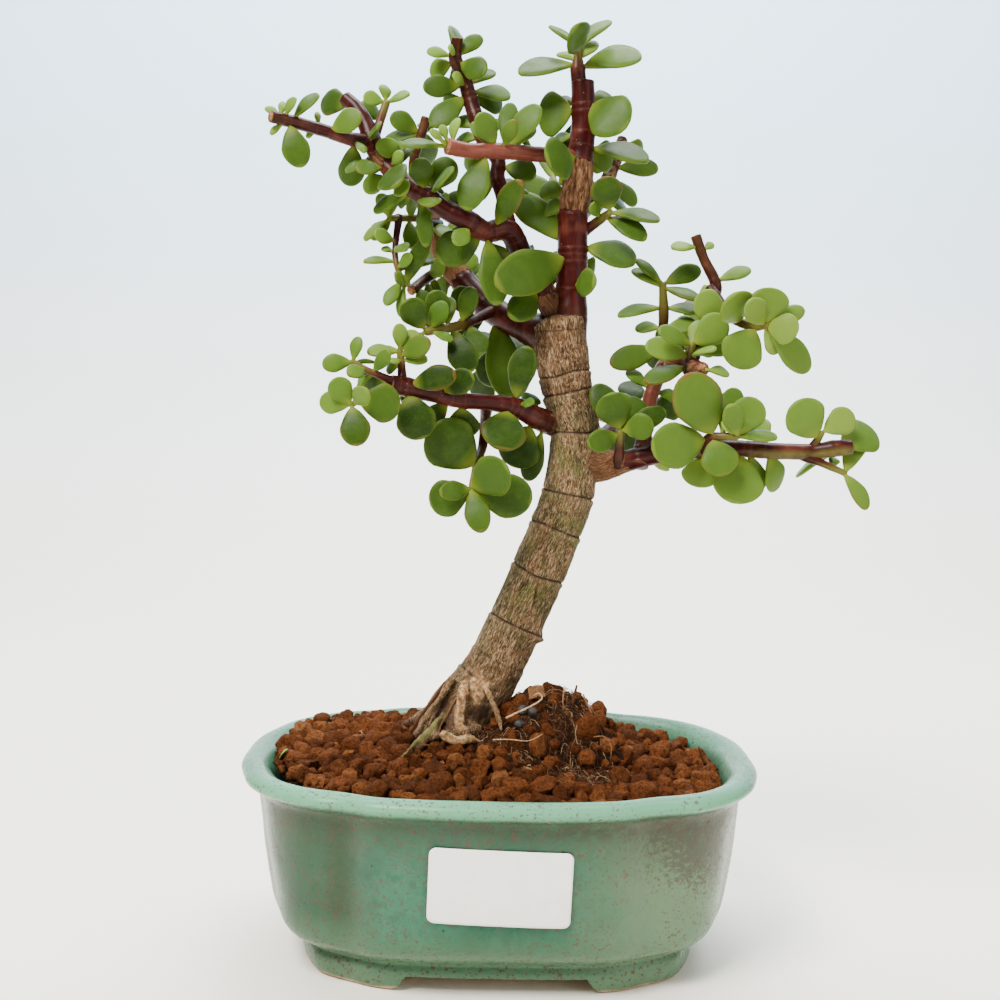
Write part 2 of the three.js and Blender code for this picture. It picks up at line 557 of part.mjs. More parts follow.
// The largest body of a solid: scraps that a cut left loose are dropped
function wholeBody(solid) {
  const bodies = solid.decompose();
  return bodies.reduce((best, body) => (body.volume() > best.volume() ? body : best));
}

// A closed skin through rings of equally many points, with a flat cap at each end
function loft(rings) {
  const count = rings[0].length;
  const triangles = [];
  for (let level = 0; level + 1 < rings.length; level += 1) {
    for (let side = 0; side < count; side += 1) {
      const a = level * count + side;
      const b = level * count + ((side + 1) % count);
      triangles.push([a, b, b + count], [a, b + count, a + count]);
    }
  }
  const last = (rings.length - 1) * count;
  for (let side = 1; side + 1 < count; side += 1) {
    triangles.push([0, side + 1, side], [last, last + side, last + side + 1]);
  }
  return solidOf(faceted(rings.flat(), triangles));
}

function block(sizeX, sizeY, lowZ, highZ) {
  const box = new THREE.BoxGeometry(sizeX, sizeY, highZ - lowZ);
  box.translate(0, 0, (lowZ + highZ) / 2);
  return solidOf(box);
}

// Repeatable draws between 0 and 1
function drawsFrom(seed) {
  let state = seed;
  return () => {
    state = (state * 16807) % 2147483647;
    return state / 2147483647;
  };
}

// ---------------------------------------------------------------- pot

// How much a point of the plan is drawn in by the eight upright valleys between the lobes
function valleyShrink(x, y) {
  const long = Math.exp(-(((Math.abs(x) - VALLEY_X) / VALLEY_WIDTH) ** 2));
  const short = Math.exp(-(((Math.abs(y) - VALLEY_Y) / VALLEY_WIDTH) ** 2));
  const depth = Math.max(Math.abs(y) > VALLEY_Y ? long : 0, Math.abs(x) > VALLEY_X ? short : 0);
  return 1 - (VALLEY_DEPTH * depth) / Math.max(1, Math.hypot(x, y));
}

// A ring of the pot's plan at one height: a rounded rectangle with shallow valleys
function potRing(halfWidth, z) {
  const halfY = halfWidth - POT_DEPTH_STEP;
  const ring = [];
  for (let side = 0; side < POT_FACETS; side += 1) {
    const angle = (side / POT_FACETS) * 2 * Math.PI;
    const cos = Math.cos(angle);
    const sin = Math.sin(angle);
    const x = halfWidth * Math.sign(cos) * Math.abs(cos) ** (2 / POT_SQUARENESS);
    const y = halfY * Math.sign(sin) * Math.abs(sin) ** (2 / POT_SQUARENESS);
    const shrink = valleyShrink(x, y);
    ring.push(new THREE.Vector3(x * shrink, y * shrink, z));
  }
  return ring;
}

// Half width of the pot's inside at a height
function insideHalfWidth(z) {
  for (let step = 0; step + 1 < POT_INSIDE.length; step += 1) {
    const [high, wide] = POT_INSIDE[step];
    const [low, narrow] = POT_INSIDE[step + 1];
    if (z >= low) {
      return narrow + ((wide - narrow) * (z - low)) / (high - low);
    }
  }
  return POT_INSIDE.at(-1)[1];
}

function makePot() {
  const profile = [...POT_OUTSIDE, ...POT_LIP, ...POT_INSIDE];
  const body = loft(profile.map(([z, halfWidth]) => potRing(halfWidth, z)));
  const recessHalfWidth = POT_OUTSIDE[0][1] - FOOT_RING_WIDTH;
  const reach = 4 * POT_HALF_WIDTH;
  const cuts = [
    loft([-1, FOOT_RECESS_Z].map((z) => potRing(recessHalfWidth, z))),
    block(2 * FOOT_ARCH_HALF_X, reach, -1, FOOT_ARCH_Z),
    block(reach, 2 * FOOT_ARCH_HALF_Y, -1, FOOT_ARCH_Z),
  ];
  for (const x of [-DRAIN_X, DRAIN_X]) {
    const drain = new THREE.CylinderGeometry(DRAIN_RADIUS, DRAIN_RADIUS, 3 * FLOOR_Z, DRAIN_SIDES);
    drain.rotateX(Math.PI / 2);
    drain.translate(x, 0, FLOOR_Z);
    cuts.push(solidOf(drain));
  }
  return cuts.reduce((pot, cut) => pot.subtract(cut), body);
}

// ---------------------------------------------------------------- drain screens and label

function screenPlate(x, pad) {
  const low = FLOOR_Z + GAP - pad;
  const high = FLOOR_Z + GAP + SCREEN_THICKNESS + pad;
  return block(SCREEN_SIZE + 2 * pad, SCREEN_SIZE + 2 * pad, low, high).translate([x, 0, 0]);
}

function makeScreen(x) {
  let screen = screenPlate(x, 0);
  for (const column of [-1, 1]) {
    for (const row of [-1, 1]) {
      const opening = block(SCREEN_MESH, SCREEN_MESH, 0, 2 * FLOOR_Z);
      const shift = [x + column * SCREEN_PITCH, row * SCREEN_PITCH, 0];
      screen = screen.subtract(opening.translate(shift));
    }
  }
  return screen;
}

// A blank paper sticker that follows the front of the pot
function makeLabel() {
  const outline = new THREE.Shape();
  const reachX = LABEL_WIDTH / 2 - LABEL_CORNER;
  const reachY = LABEL_HEIGHT / 2 - LABEL_CORNER;
  const corners = [[1, 1], [-1, 1], [-1, -1], [1, -1]];
  corners.forEach(([signX, signY], quarter) => {
    const start = (quarter * Math.PI) / 2;
    outline.absarc(signX * reachX, signY * reachY, LABEL_CORNER, start, start + Math.PI / 2, false);
  });
  const sheet = new THREE.ExtrudeGeometry(outline, {
    depth: POT_HALF_WIDTH, bevelEnabled: false, curveSegments: 2,
  });
  sheet.rotateX(Math.PI / 2);
  sheet.rotateY(-LABEL_TILT);
  sheet.translate(LABEL_CENTRE[0], 0, LABEL_CENTRE[1]);
  const side = POT_OUTSIDE.slice(3, -1);
  const shell = (offset) => loft(side.map(([z, halfWidth]) => potRing(halfWidth + offset, z)));
  return solidOf(sheet).intersect(shell(GAP + LABEL_THICKNESS)).subtract(shell(GAP));
}

// ---------------------------------------------------------------- stems

function curveThrough(path) {
  return new THREE.CatmullRomCurve3(path.map(vector), false, "catmullrom", 0.5);
}

// Rings round a smooth path at shares of the way along it
function pathRings(path, sides, shares, radiusAt) {
  const curve = curveThrough(path);
  const rings = [];
  let across = null;
  for (const share of shares) {
    const centre = curve.getPoint(share);
    const ahead = curve.getPoint(Math.min(1, share + 0.01));
    const along = ahead.sub(curve.getPoint(Math.max(0, share - 0.01))).normalize();
    across = across ?? (Math.abs(along.z) > 0.9 ? new THREE.Vector3(1, 0, 0) : UP.clone());
    across = across.clone().addScaledVector(along, -across.dot(along)).normalize();
    const beside = new THREE.Vector3().crossVectors(along, across);
    const ring = [];
    for (let side = 0; side < sides; side += 1) {
      const angle = (side / sides) * 2 * Math.PI;
      const radius = radiusAt(share, angle, centre);
      ring.push(centre.clone()
        .addScaledVector(across, radius * Math.cos(angle))
        .addScaledVector(beside, radius * Math.sin(angle)));
    }
    rings.push(ring);
  }
  return rings;
}

// Radius on a path of [x, y, z, radius] points at a share of the way along it
function pathRadius(path, share) {
  const place = share * (path.length - 1);
  const index = Math.min(path.length - 2, Math.floor(place));
  return path[index][3] + (path[index + 1][3] - path[index][3]) * (place - index);
}

function makeStem(path, pad = 0) {
  const thick = Math.max(...path.map((point) => point[3]));
  const length = path.slice(1).reduce(
    (sum, point, index) => sum + vector(point).distanceTo(vector(path[index])), 0);
  const count = Math.max(2, Math.round(length / STEM_STEP));
  const shares = Array.from({ length: count + 1 }, (_, index) => index / count);
  return loft(pathRings(path, thick > THICK_STEM ? 6 : 5, shares,
    (share) => pathRadius(path, share) + pad));
}

// ---------------------------------------------------------------- trunk and roots

// Trunk radius with the root flare and the ring scars
function trunkRadius(share, angle, { z }) {
  const drop = THREE.MathUtils.clamp((FLARE_TOP - z) / (FLARE_TOP - FLARE_BOTTOM), 0, 1);
  const swell = 1 + FLARE_SWELL * drop * drop * (0.6 + 0.4 * Math.cos(FLARE_LOBES * angle + 1));
  const nearest = Math.min(...RING_SCARS.map((scar) => Math.abs(z - scar)));
  return pathRadius(TRUNK, share) * swell - SCAR_DEPTH * Math.max(0, 1 - nearest / SCAR_HALF_WIDTH);
}

// The share of the way along the trunk at which it reaches a height
function trunkShareAt(height) {
  const curve = curveThrough(TRUNK);
  let low = 0;
  let high = 1;
  while (high - low > 1e-6) {
    const middle = (low + high) / 2;
    if (curve.getPoint(middle).z < height) {
      low = middle;
    } else {
      high = middle;
    }
  }
  return high;
}

function makeTrunk(pad = 0) {
  const scarLevels = RING_SCARS.flatMap((z) => [z - SCAR_HALF_WIDTH, z, z + SCAR_HALF_WIDTH]);
  const levels = [...TRUNK_LEVELS, ...scarLevels].sort((low, high) => low - high);
  const radiusAt = (share, angle, centre) => trunkRadius(share, angle, centre) + pad;
  const rings = pathRings(TRUNK, TRUNK_SIDES, levels.map(trunkShareAt), radiusAt);
  if (pad > 0) {
    rings.push(rings.at(-1).map((point) => point.clone().setZ(point.z + pad)));
  }
  return joined([loft(rings), ...ROOTS.map((root) => makeStem(root, pad))]);
}

// ---------------------------------------------------------------- leaves

// Half width of a blade along its length, as a share of its greatest half width
function bladeOutline(share) {
  if (share <= 0 || share >= 1) {
    return 0;
  }
  const past = Math.max(0, (share - BLADE_SHOULDER) / (1 - BLADE_SHOULDER));
  return Math.min(1, BLADE_FULLNESS * share ** BLADE_TAPER) * Math.sqrt(1 - past * past);
}

// Half width of a leaf at a share of the way from the stem's axis to its tip
function halfWidthAt(leaf, share) {
  const free = Math.min(0.97, (share - leaf.sunk) / (1 - leaf.sunk));
  return (leaf.width / 2) * bladeOutline(free);
}

function acrossOf(leaf) {
  return new THREE.Vector3().crossVectors(leaf.normal, leaf.along);
}

// A leaf grown on a stem: its root on the stem's axis, its directions and its sizes
function growLeaf(shoot, [x, z, dx, dy, dz, width, face]) {
  const away = ({ centre }) => Math.hypot(centre.x - x, centre.z - z);
  const near = shoot.samples.reduce((best, sample) => (away(sample) < away(best) ? sample : best));
  const along = new THREE.Vector3(x + dx, near.centre.y + dy, z + dz).sub(near.centre);
  const length = along.length();
  along.normalize();
  const level = FRONT.clone().addScaledVector(along, -FRONT.dot(along)).normalize();
  const upward = new THREE.Vector3().crossVectors(along, level);
  if (upward.z < 0 || (Math.abs(upward.z) < 0.15 && upward.x < 0)) {
    upward.negate();
  }
  const turn = THREE.MathUtils.degToRad(face);
  const normal = level.multiplyScalar(Math.cos(turn)).addScaledVector(upward, Math.sin(turn));
  return {
    shoot: shoot.name,
    node: shoot.node,
    root: near.centre,
    sunk: near.radius / length,
    along,
    normal,
    length,
    width,
    thickness: LEAF_THICKNESS + LEAF_FLESH * length,
  };
}

// The same leaf swung sideways in its own plane and up or down about its root, in degrees
function swung(leaf, [sideways, upward]) {
  const along = leaf.along.clone().applyAxisAngle(leaf.normal, THREE.MathUtils.degToRad(sideways));
  const across = new THREE.Vector3().crossVectors(leaf.normal, along);
  const lift = THREE.MathUtils.degToRad(upward);
  along.applyAxisAngle(across, lift);
  const normal = leaf.normal.clone().applyAxisAngle(across, lift);
  return { ...leaf, along, normal };
}

// Points spread over a blade, for finding what it touches
function bladePoints(leaf) {
  const across = acrossOf(leaf);
  return [0.3, 0.45, 0.6, 0.75, 0.88, 1].flatMap((share) => {
    const half = halfWidthAt(leaf, share);
    return [-1, -0.5, 0, 0.5, 1].map((side) => leaf.root.clone()
      .addScaledVector(leaf.along, share * leaf.length)
      .addScaledVector(across, side * half));
  });
}

function insideBlade(point, leaf, air) {
  const offset = point.clone().sub(leaf.root);
  const share = offset.dot(leaf.along) / leaf.length;
  return share >= 0.1
    && share <= 1 + air / leaf.length
    && Math.abs(offset.dot(leaf.normal)) <= air
    && Math.abs(offset.dot(acrossOf(leaf))) < halfWidthAt(leaf, share) + LEAF_AIR;
}

// Whether a leaf touches a stem or a leaf that is already there
function touches(leaf, placed, stems) {
  const points = bladePoints(leaf);
  const onStem = stems.some(({ centre, radius, shoot }) => {
    const clear = radius + leaf.thickness / 2 + LEAF_AIR;
    const own = shoot === leaf.shoot ? 2.5 * radius + 1 : 0;
    return points.some((point) => point.distanceTo(centre) < clear
      && point.distanceTo(leaf.root) >= own);
  });
  return onStem || placed.some((other) => {
    const flesh = (other.thickness + leaf.thickness) / 2;
    const air = other.node === leaf.node ? LEAF_PACKING * flesh : flesh + LEAF_AIR;
    return other.root.distanceTo(leaf.root) < other.length + leaf.length
      && (points.some((point) => insideBlade(point, other, air))
        || other.points.some((point) => insideBlade(point, leaf, air)));
  });
}

// A blade with a sharp rim and a fleshy middle, its root sunk into the stem
function makeBlade(leaf) {
  const across = acrossOf(leaf);
  const at = (share, side, rise) => {
    const half = Math.max(LEAF_ROOT_HALF_WIDTH, (leaf.width / 2) * bladeOutline(share));
    return leaf.root.clone()
      .addScaledVector(leaf.along, (leaf.sunk + (1 - leaf.sunk) * share) * leaf.length)
      .addScaledVector(across, side * half)
      .addScaledVector(leaf.normal, rise);
  };
  let shares = [0.28, 0.62, 0.94];
  let middles = [0.25, 0.68];
  if (leaf.length > BIG_LEAF) {
    shares = [0.2, 0.45, 0.74, 0.95];
  } else if (leaf.length < SMALL_LEAF) {
    shares = [0.5, 0.9];
    middles = [0.5];
  }
  shares = [-leaf.sunk / (1 - leaf.sunk), ...shares];
  const rim = [
    ...shares.map((share) => at(share, -1, 0)),
    ...shares.toReversed().map((share) => at(share, 1, 0)),
  ];
  const points = [...rim];
  for (const side of [1, -1]) {
    const rise = LEAF_ARCH * leaf.length + (side * leaf.thickness) / 2;
    points.push(...middles.map((share) => at(share, 0, rise)));
  }
  // Each rim edge is joined to the nearer middle point of each face
  const fromRoot = (index) => Math.min(index, rim.length - 1 - index);
  const middleOf = (index) => (fromRoot(index) < shares.length - 2 ? 0 : middles.length - 1);
  const triangles = [];
  for (let index = 0; index < rim.length; index += 1) {
    const next = (index + 1) % rim.length;
    for (const face of [0, 1]) {
      const first = rim.length + middles.length * face + middleOf(index);
      const second = rim.length + middles.length * face + middleOf(next);
      const fan = [[index, next, first]];
      if (first !== second) {
        fan.push([next, second, first]);
      }
      triangles.push(...(face === 0 ? fan : fan.map((corners) => corners.toReversed())));
    }
  }
  return solidOf(faceted(points, triangles));
}

// ---------------------------------------------------------------- the tree's shoots

function sampleStem({ name, stem }) {
  const curve = curveThrough(stem);
  const count = 10 * (stem.length - 1);
  return Array.from({ length: count + 1 }, (_, index) => {
    const share = index / count;
    return { centre: curve.getPoint(share), radius: pathRadius(stem, share), shoot: name };
  });
}

// Leaves in crossed pairs on the far side of a stem, in the same terms as the listed ones
function farLeaves(shoot, [, from, to, pairs, size], draw) {
  const drawn = ([least, more]) => least + more * draw();
  const leaves = [];
  for (let pair = 0; pair < pairs; pair += 1) {
    const share = from + ((to - from) * pair) / (pairs - 1);
    const { centre } = shoot.samples[Math.round(share * (shoot.samples.length - 1))];
    for (const half of [0, Math.PI]) {
      const heading = (pair % 2) * (Math.PI / 2) + half + FAR_STRAY * (draw() - 0.5);
      const length = size * drawn(FAR_LENGTH);
      const flat = FAR_REACH * length;
      leaves.push([
        centre.x, centre.z, flat * Math.cos(heading), length * drawn(FAR_BACK),
        flat * Math.sin(heading), length * drawn(FAR_WIDTH), drawn(FAR_FACE),
      ]);
    }
  }
  return leaves;
}

// Every leaf of the tree, bent clear of those before it; a leaf with no room is left out
function placeLeaves() {
  const trunk = sampleStem({ name: "trunk", stem: TRUNK });
  const stems = [...trunk, ...SHOOTS.flatMap((shoot) => shoot.samples)];
  const placed = [];
  const place = (shoot, entry) => {
    const straight = growLeaf(shoot, entry);
    const bent = SWINGS.map((swing) => swung(straight, swing));
    const leaf = bent.find((candidate) => !touches(candidate, placed, stems));
    if (leaf) {
      placed.push({ ...leaf, points: bladePoints(leaf) });
    }
  };
  for (const shoot of SHOOTS) {
    shoot.leaves.forEach((entry) => place(shoot, entry));
  }
  const draw = drawsFrom(FAR_SEED);
  for (const row of FAR_PAIRS) {
    const shoot = SHOOTS.find((candidate) => candidate.name === row[0]);
    farLeaves(shoot, row, draw).forEach((entry) => place(shoot, entry));
  }
  return placed;
}

// One solid for a leafy stem: its stems and leaves joined, cut clear of the wood it grows from
function makeShootNode(shoots, leaves, woodBefore) {
  const body = joined([...shoots.map((shoot) => makeStem(shoot.stem)), ...leaves.map(makeBlade)]);
  return wholeBody(woodBefore.reduce((rest, wood) => rest.subtract(wood), body));
}

// ---------------------------------------------------------------- soil

function makeRootBall(pad = 0) {
  const { x, y, halfX, halfY, foot, crown } = ROOT_BALL;
  const draw = drawsFrom(ROOT_BALL_SEED);
  const rings = ROOT_BALL_LEVELS.map((share) => {
    const z = foot + (crown - foot) * share;
    const spread = Math.sqrt(1 - share ** ROOT_BALL_SLOPE);
    return Array.from({ length: ROOT_BALL_SIDES }, (_, side) => {
      const angle = (side / ROOT_BALL_SIDES) * 2 * Math.PI;
      const rough = 1 + ROOT_BALL_ROUGH * (draw() - 0.5);
      const lift = share > 0 ? pad + ROOT_BALL_JITTER * (draw() - 0.5) : -pad;
      return new THREE.Vector3(
        x + (halfX * spread * rough + pad) * Math.cos(angle),
        y + (halfY * spread * rough + pad) * Math.sin(angle),
        z + lift,
      );
    });
  });
  return loft(rings);
}

function soilHeight(x, y) {
  const away = ((x - MOUND.x) / MOUND.reach) ** 2 + ((y - MOUND.y) / MOUND.reach) ** 2;
  return SOIL_MIDDLE_Z + SOIL_FALL_X * x + SOIL_FALL_Y * y + MOUND.rise * Math.exp(-away);
}

// The soil's top: a grid stretched to the pot's plan, where every second point of every second
// row is raised as a granule
function soilTop(halfX, halfY) {
  const draw = drawsFrom(SOIL_SEED);
  const points = [];
  for (let row = 0; row <= SOIL_ROWS; row += 1) {
    for (let column = 0; column <= SOIL_COLUMNS; column += 1) {
      const inner = row > 0 && row < SOIL_ROWS && column > 0 && column < SOIL_COLUMNS;
      const stray = inner ? GRANULE_STRAY : 0;
      const u = (2 * column) / SOIL_COLUMNS - 1 + stray * (draw() - 0.5);
      const v = (2 * row) / SOIL_ROWS - 1 + stray * (draw() - 0.5);
      const planX = halfX * u * Math.sqrt(1 - SOIL_CORNER * v * v);
      const planY = halfY * v * Math.sqrt(1 - SOIL_CORNER * u * u);
      const shrink = valleyShrink(planX, planY);
      const raised = inner && row % 2 === 1 && (column + (row % 4 === 1 ? 0 : 1)) % 2 === 1;
      const rise = raised ? GRANULE_RISE * (0.6 + draw()) : 0;
      const [x, y] = [planX * shrink, planY * shrink];
      points.push(new THREE.Vector3(x, y, soilHeight(x, y) + rise));
    }
  }
  return points;
}

// Indices of the grid's outer points, anticlockwise
function soilEdge() {
  const across = SOIL_COLUMNS + 1;
  const last = SOIL_ROWS * across;
  const columns = Array.from({ length: SOIL_COLUMNS }, (_, column) => column);
  const rows = Array.from({ length: SOIL_ROWS }, (_, row) => row);
  return [
    ...columns,
    ...rows.map((row) => row * across + SOIL_COLUMNS),
    ...columns.map((column) => last + SOIL_COLUMNS - column),
    ...rows.map((row) => last - row * across),
  ];
}

function makeSoil() {
  const halfX = insideHalfWidth(SOIL_EDGE_Z) - SOIL_EDGE_GAP;
  const halfY = halfX - POT_DEPTH_STEP;
  const points = soilTop(halfX, halfY);
  const across = SOIL_COLUMNS + 1;
  const triangles = [];
  for (let row = 0; row < SOIL_ROWS; row += 1) {
    for (let column = 0; column < SOIL_COLUMNS; column += 1) {
      const a = row * across + column;
      triangles.push([a, a + 1, a + across + 1], [a, a + across + 1, a + across]);
    }
  }
  const edge = soilEdge();
  let above = edge;
  for (const z of SOIL_FOOT_LEVELS) {
    const lowX = insideHalfWidth(z) - SOIL_EDGE_GAP;
    const shrinkX = lowX / halfX;
    const shrinkY = (lowX - POT_DEPTH_STEP) / halfY;
    const below = edge.map((index) => {
      points.push(new THREE.Vector3(points[index].x * shrinkX, points[index].y * shrinkY, z));
      return points.length - 1;
    });
    for (let side = 0; side < edge.length; side += 1) {
      const next = (side + 1) % edge.length;
      triangles.push([above[side], below[side], below[next]], [above[side], below[next], above[next]]);
    }
    above = below;
  }
  points.push(new THREE.Vector3(0, 0, SOIL_FOOT_LEVELS.at(-1)));
  const middle = points.length - 1;
  above.forEach((index, side) => triangles.push([above[(side + 1) % above.length], index, middle]));
  return solidOf(faceted(points, triangles));
}

// A feed pellet half sunk in the root ball
function makePellet([x, y], pad = 0) {
  const { x: middleX, y: middleY, halfX, halfY, foot, crown } = ROOT_BALL;
  const away = Math.hypot((x - middleX) / halfX, (y - middleY) / halfY);
  const z = foot + (crown - foot) * (1 - away ** 2) ** (1 / ROOT_BALL_SLOPE) + PELLET_RADIUS / 2;
  const ball = new THREE.IcosahedronGeometry(PELLET_RADIUS + pad);
  ball.translate(x, y, z);
  return solidOf(ball);
}

// ---------------------------------------------------------------- assembly

const FINISHES = {
  pot: { color: 0x62a085, roughness: 0.25, metalness: 0 },
  screen: { color: 0x2a2c2e, roughness: 0.6, metalness: 0 },
  label: { color: 0xf4f4f2, roughness: 0.5, metalness: 0 },
  soil: { color: 0x6e3d22, roughness: 0.95, metalness: 0 },
  rootBall: { color: 0x3a2419, roughness: 1, metalness: 0 },
  pellet: { color: 0x4b464c, roughness: 0.5, metalness: 0 },
  trunk: { color: 0x8a7358, roughness: 0.9, metalness: 0 },
  shoot: { color: 0x6b8a35, roughness: 0.35, metalness: 0 },
};

const bonsai = new THREE.Group();

function addPiece(name, solid, finish) {
  const mesh = new THREE.Mesh(geometryOf(solid), new THREE.MeshStandardMaterial(finish));
  mesh.name = name;
  bonsai.add(mesh);
}

addPiece("pot", makePot(), FINISHES.pot);
addPiece("label", makeLabel(), FINISHES.label);
addPiece("drain_screen_left", makeScreen(-DRAIN_X), FINISHES.screen);
addPiece("drain_screen_right", makeScreen(DRAIN_X), FINISHES.screen);

const trunkClearance = makeTrunk(GAP);
const pelletClearance = joined(PELLETS.map((spot) => makePellet(spot, GAP)));
const rootBall = makeRootBall().subtract(trunkClearance).subtract(pelletClearance);
const screenClearance = [-DRAIN_X, DRAIN_X].map((x) => screenPlate(x, GAP));
const soil = [trunkClearance, pelletClearance, makeRootBall(GAP), ...screenClearance]
  .reduce((rest, cut) => rest.subtract(cut), makeSoil());
PELLETS.forEach((spot, index) => {
  addPiece(`feed_pellet_${index + 1}`, makePellet(spot), FINISHES.pellet);
});
addPiece("soil", wholeBody(soil), FINISHES.soil);
addPiece("root_ball", wholeBody(rootBall), FINISHES.rootBall);
addPiece("trunk", makeTrunk(), FINISHES.trunk);

for (const shoot of SHOOTS) {
  shoot.samples = sampleStem(shoot);
}
const leaves = placeLeaves();
const woodBefore = [trunkClearance];
for (const node of new Set(SHOOTS.map((shoot) => shoot.node))) {
  const shoots = SHOOTS.filter((shoot) => shoot.node === node);
  const own = leaves.filter((leaf) => leaf.node === node);
  addPiece(node, makeShootNode(shoots, own, woodBefore), FINISHES.shoot);
  woodBefore.push(...shoots.map((shoot) => makeStem(shoot.stem, GAP)));
}

// The origin is under the middle of the whole, on the ground
bonsai.updateMatrixWorld(true);
const box = new THREE.Box3().setFromObject(bonsai, true);
bonsai.position.set(-(box.min.x + box.max.x) / 2, -(box.min.y + box.max.y) / 2, -box.min.z);

export default bonsai;
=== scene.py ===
"""Dwarf jade bonsai (Portulacaria afra) in a glazed pot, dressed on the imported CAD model.

Shapes are worked out in millimetres from the middle of the pot's base, with +Z up and the
front of the tree at -Y, and are turned into metres in the row frame when a mesh is made.
"""
import math

import bmesh
import bpy
import numpy as np
from mathutils import Matrix, Vector, noise


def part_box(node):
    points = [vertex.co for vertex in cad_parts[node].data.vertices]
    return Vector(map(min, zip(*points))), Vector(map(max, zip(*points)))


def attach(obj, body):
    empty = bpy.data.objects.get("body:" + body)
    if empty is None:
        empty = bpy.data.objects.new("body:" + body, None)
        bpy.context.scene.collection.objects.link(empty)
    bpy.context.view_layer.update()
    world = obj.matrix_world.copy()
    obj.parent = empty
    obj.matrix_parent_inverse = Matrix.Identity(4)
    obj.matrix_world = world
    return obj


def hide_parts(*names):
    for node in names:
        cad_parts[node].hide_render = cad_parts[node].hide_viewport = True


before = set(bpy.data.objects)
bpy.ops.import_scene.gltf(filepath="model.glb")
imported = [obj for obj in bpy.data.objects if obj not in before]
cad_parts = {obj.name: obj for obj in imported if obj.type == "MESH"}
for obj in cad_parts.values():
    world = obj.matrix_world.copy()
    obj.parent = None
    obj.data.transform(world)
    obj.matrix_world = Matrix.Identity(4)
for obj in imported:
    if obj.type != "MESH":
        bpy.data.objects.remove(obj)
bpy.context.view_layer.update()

MM = 0.001
POT_LOW, POT_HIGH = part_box("pot")
ORIGIN = np.array([(POT_LOW.x + POT_HIGH.x) / 2, (POT_LOW.y + POT_HIGH.y) / 2, 0.0])

# ------------------------------------------------------------------ sizes shared with the CAD

POT_DEPTH_STEP = 16.2
POT_SQUARENESS = 2.7
VALLEY_DEPTH = 1.5
VALLEY_WIDTH = 7.0
VALLEY_X = 43.0
VALLEY_Y = 24.0
POT_INSIDE = [(55.5, 68.2), (46, 64.5), (17, 57.5), (12, 53)]
FOOT_RING_WIDTH = 8.0
FOOT_RECESS_Z = 7.0
FOOT_ARCH_HALF_X = 25.5
FOOT_ARCH_HALF_Y = 14.0
DRAIN_X = 26.0
DRAIN_RADIUS = 6.0
FLOOR_Z = 12.0

LABEL_WIDTH = 38.1
LABEL_HEIGHT = 21.2
LABEL_CENTRE = (0.5, 34.5)
LABEL_CORNER = 2.0
LABEL_TILT = -0.03

SOIL_CORNER = 0.41
SOIL_EDGE_Z = 50.0
SOIL_EDGE_GAP = 0.8
SOIL_MIDDLE_Z = 56.3
SOIL_FALL_X = -0.045
SOIL_FALL_Y = 0.02
MOUND_X, MOUND_RISE, MOUND_REACH = -4.0, 11.5, 27.0
BALL_X, BALL_HALF_X, BALL_HALF_Y = 14.0, 27.0, 23.0
BALL_FOOT, BALL_CROWN, BALL_SLOPE = 44.0, 76.5, 1.7
PELLET_RADIUS = 1.6
PELLETS = 3

TRUNK = [
    (-15, -1, 50, 7.5), (-14, -1, 60, 9.5), (-11.5, 0, 69, 9.6), (-4, 0, 80, 8.9),
    (4, 0, 96.5, 8.2), (10.5, 0, 112, 8.1), (15.5, 0, 125, 7.9), (19, 0, 136, 7.8),
    (21, 0, 154.5, 7.1), (18.4, 0, 166, 7.5), (16.3, 0, 177, 8.1), (15.4, 0, 187.5, 8),
]
FLARE_TOP, FLARE_BOTTOM, FLARE_SWELL, FLARE_LOBES = 86.0, 62.0, 0.34, 5
RING_SCARS = [86.5, 97, 112, 125.5, 136, 154.5, 166, 171.5, 184]
ROOTS = [
    [(-10, -5, 78, 2.4), (-13.5, -11, 70, 2.4), (-13.5, -14.5, 63, 1.6), (-12, -17, 57, 1)],
    [(-13, -3, 75, 3.6), (-20, -4, 67.5, 2.8), (-26, -6, 61, 1.7), (-31, -7, 56, 1)],
    [(-6, -10, 67, 1.6), (-12, -15, 66, 1.4), (-19, -14.5, 65, 1.2), (-26, -12, 58, 0.9)],
    [(-16, -8, 71, 1.2), (-20, -14, 66, 1), (-25, -20, 61, 0.9), (-28, -24, 56, 0.8)],
    [(-9, 5, 76, 3.4), (-10, 15, 69, 2.4), (-7, 24, 62, 1.6), (-4, 31, 56, 1)],
    [(-14, 3, 74, 3.2), (-22, 9, 67, 2.2), (-30, 14, 61, 1.4), (-35, 17, 55, 0.9)],
]

LEAF_ROOT_HALF_WIDTH = 0.6
LEAF_THICKNESS = 1.1
LEAF_FLESH = 0.05
LEAF_ARCH = 0.04
BLADE_FULLNESS, BLADE_TAPER, BLADE_SHOULDER = 1.42, 0.55, 0.55
LEAF_AIR = 0.5
LEAF_PACKING = 0.5


def growth(node, name, end, stem, leaves=()):
    return {"node": node, "name": name, "end": end, "stem": stem, "leaves": leaves}


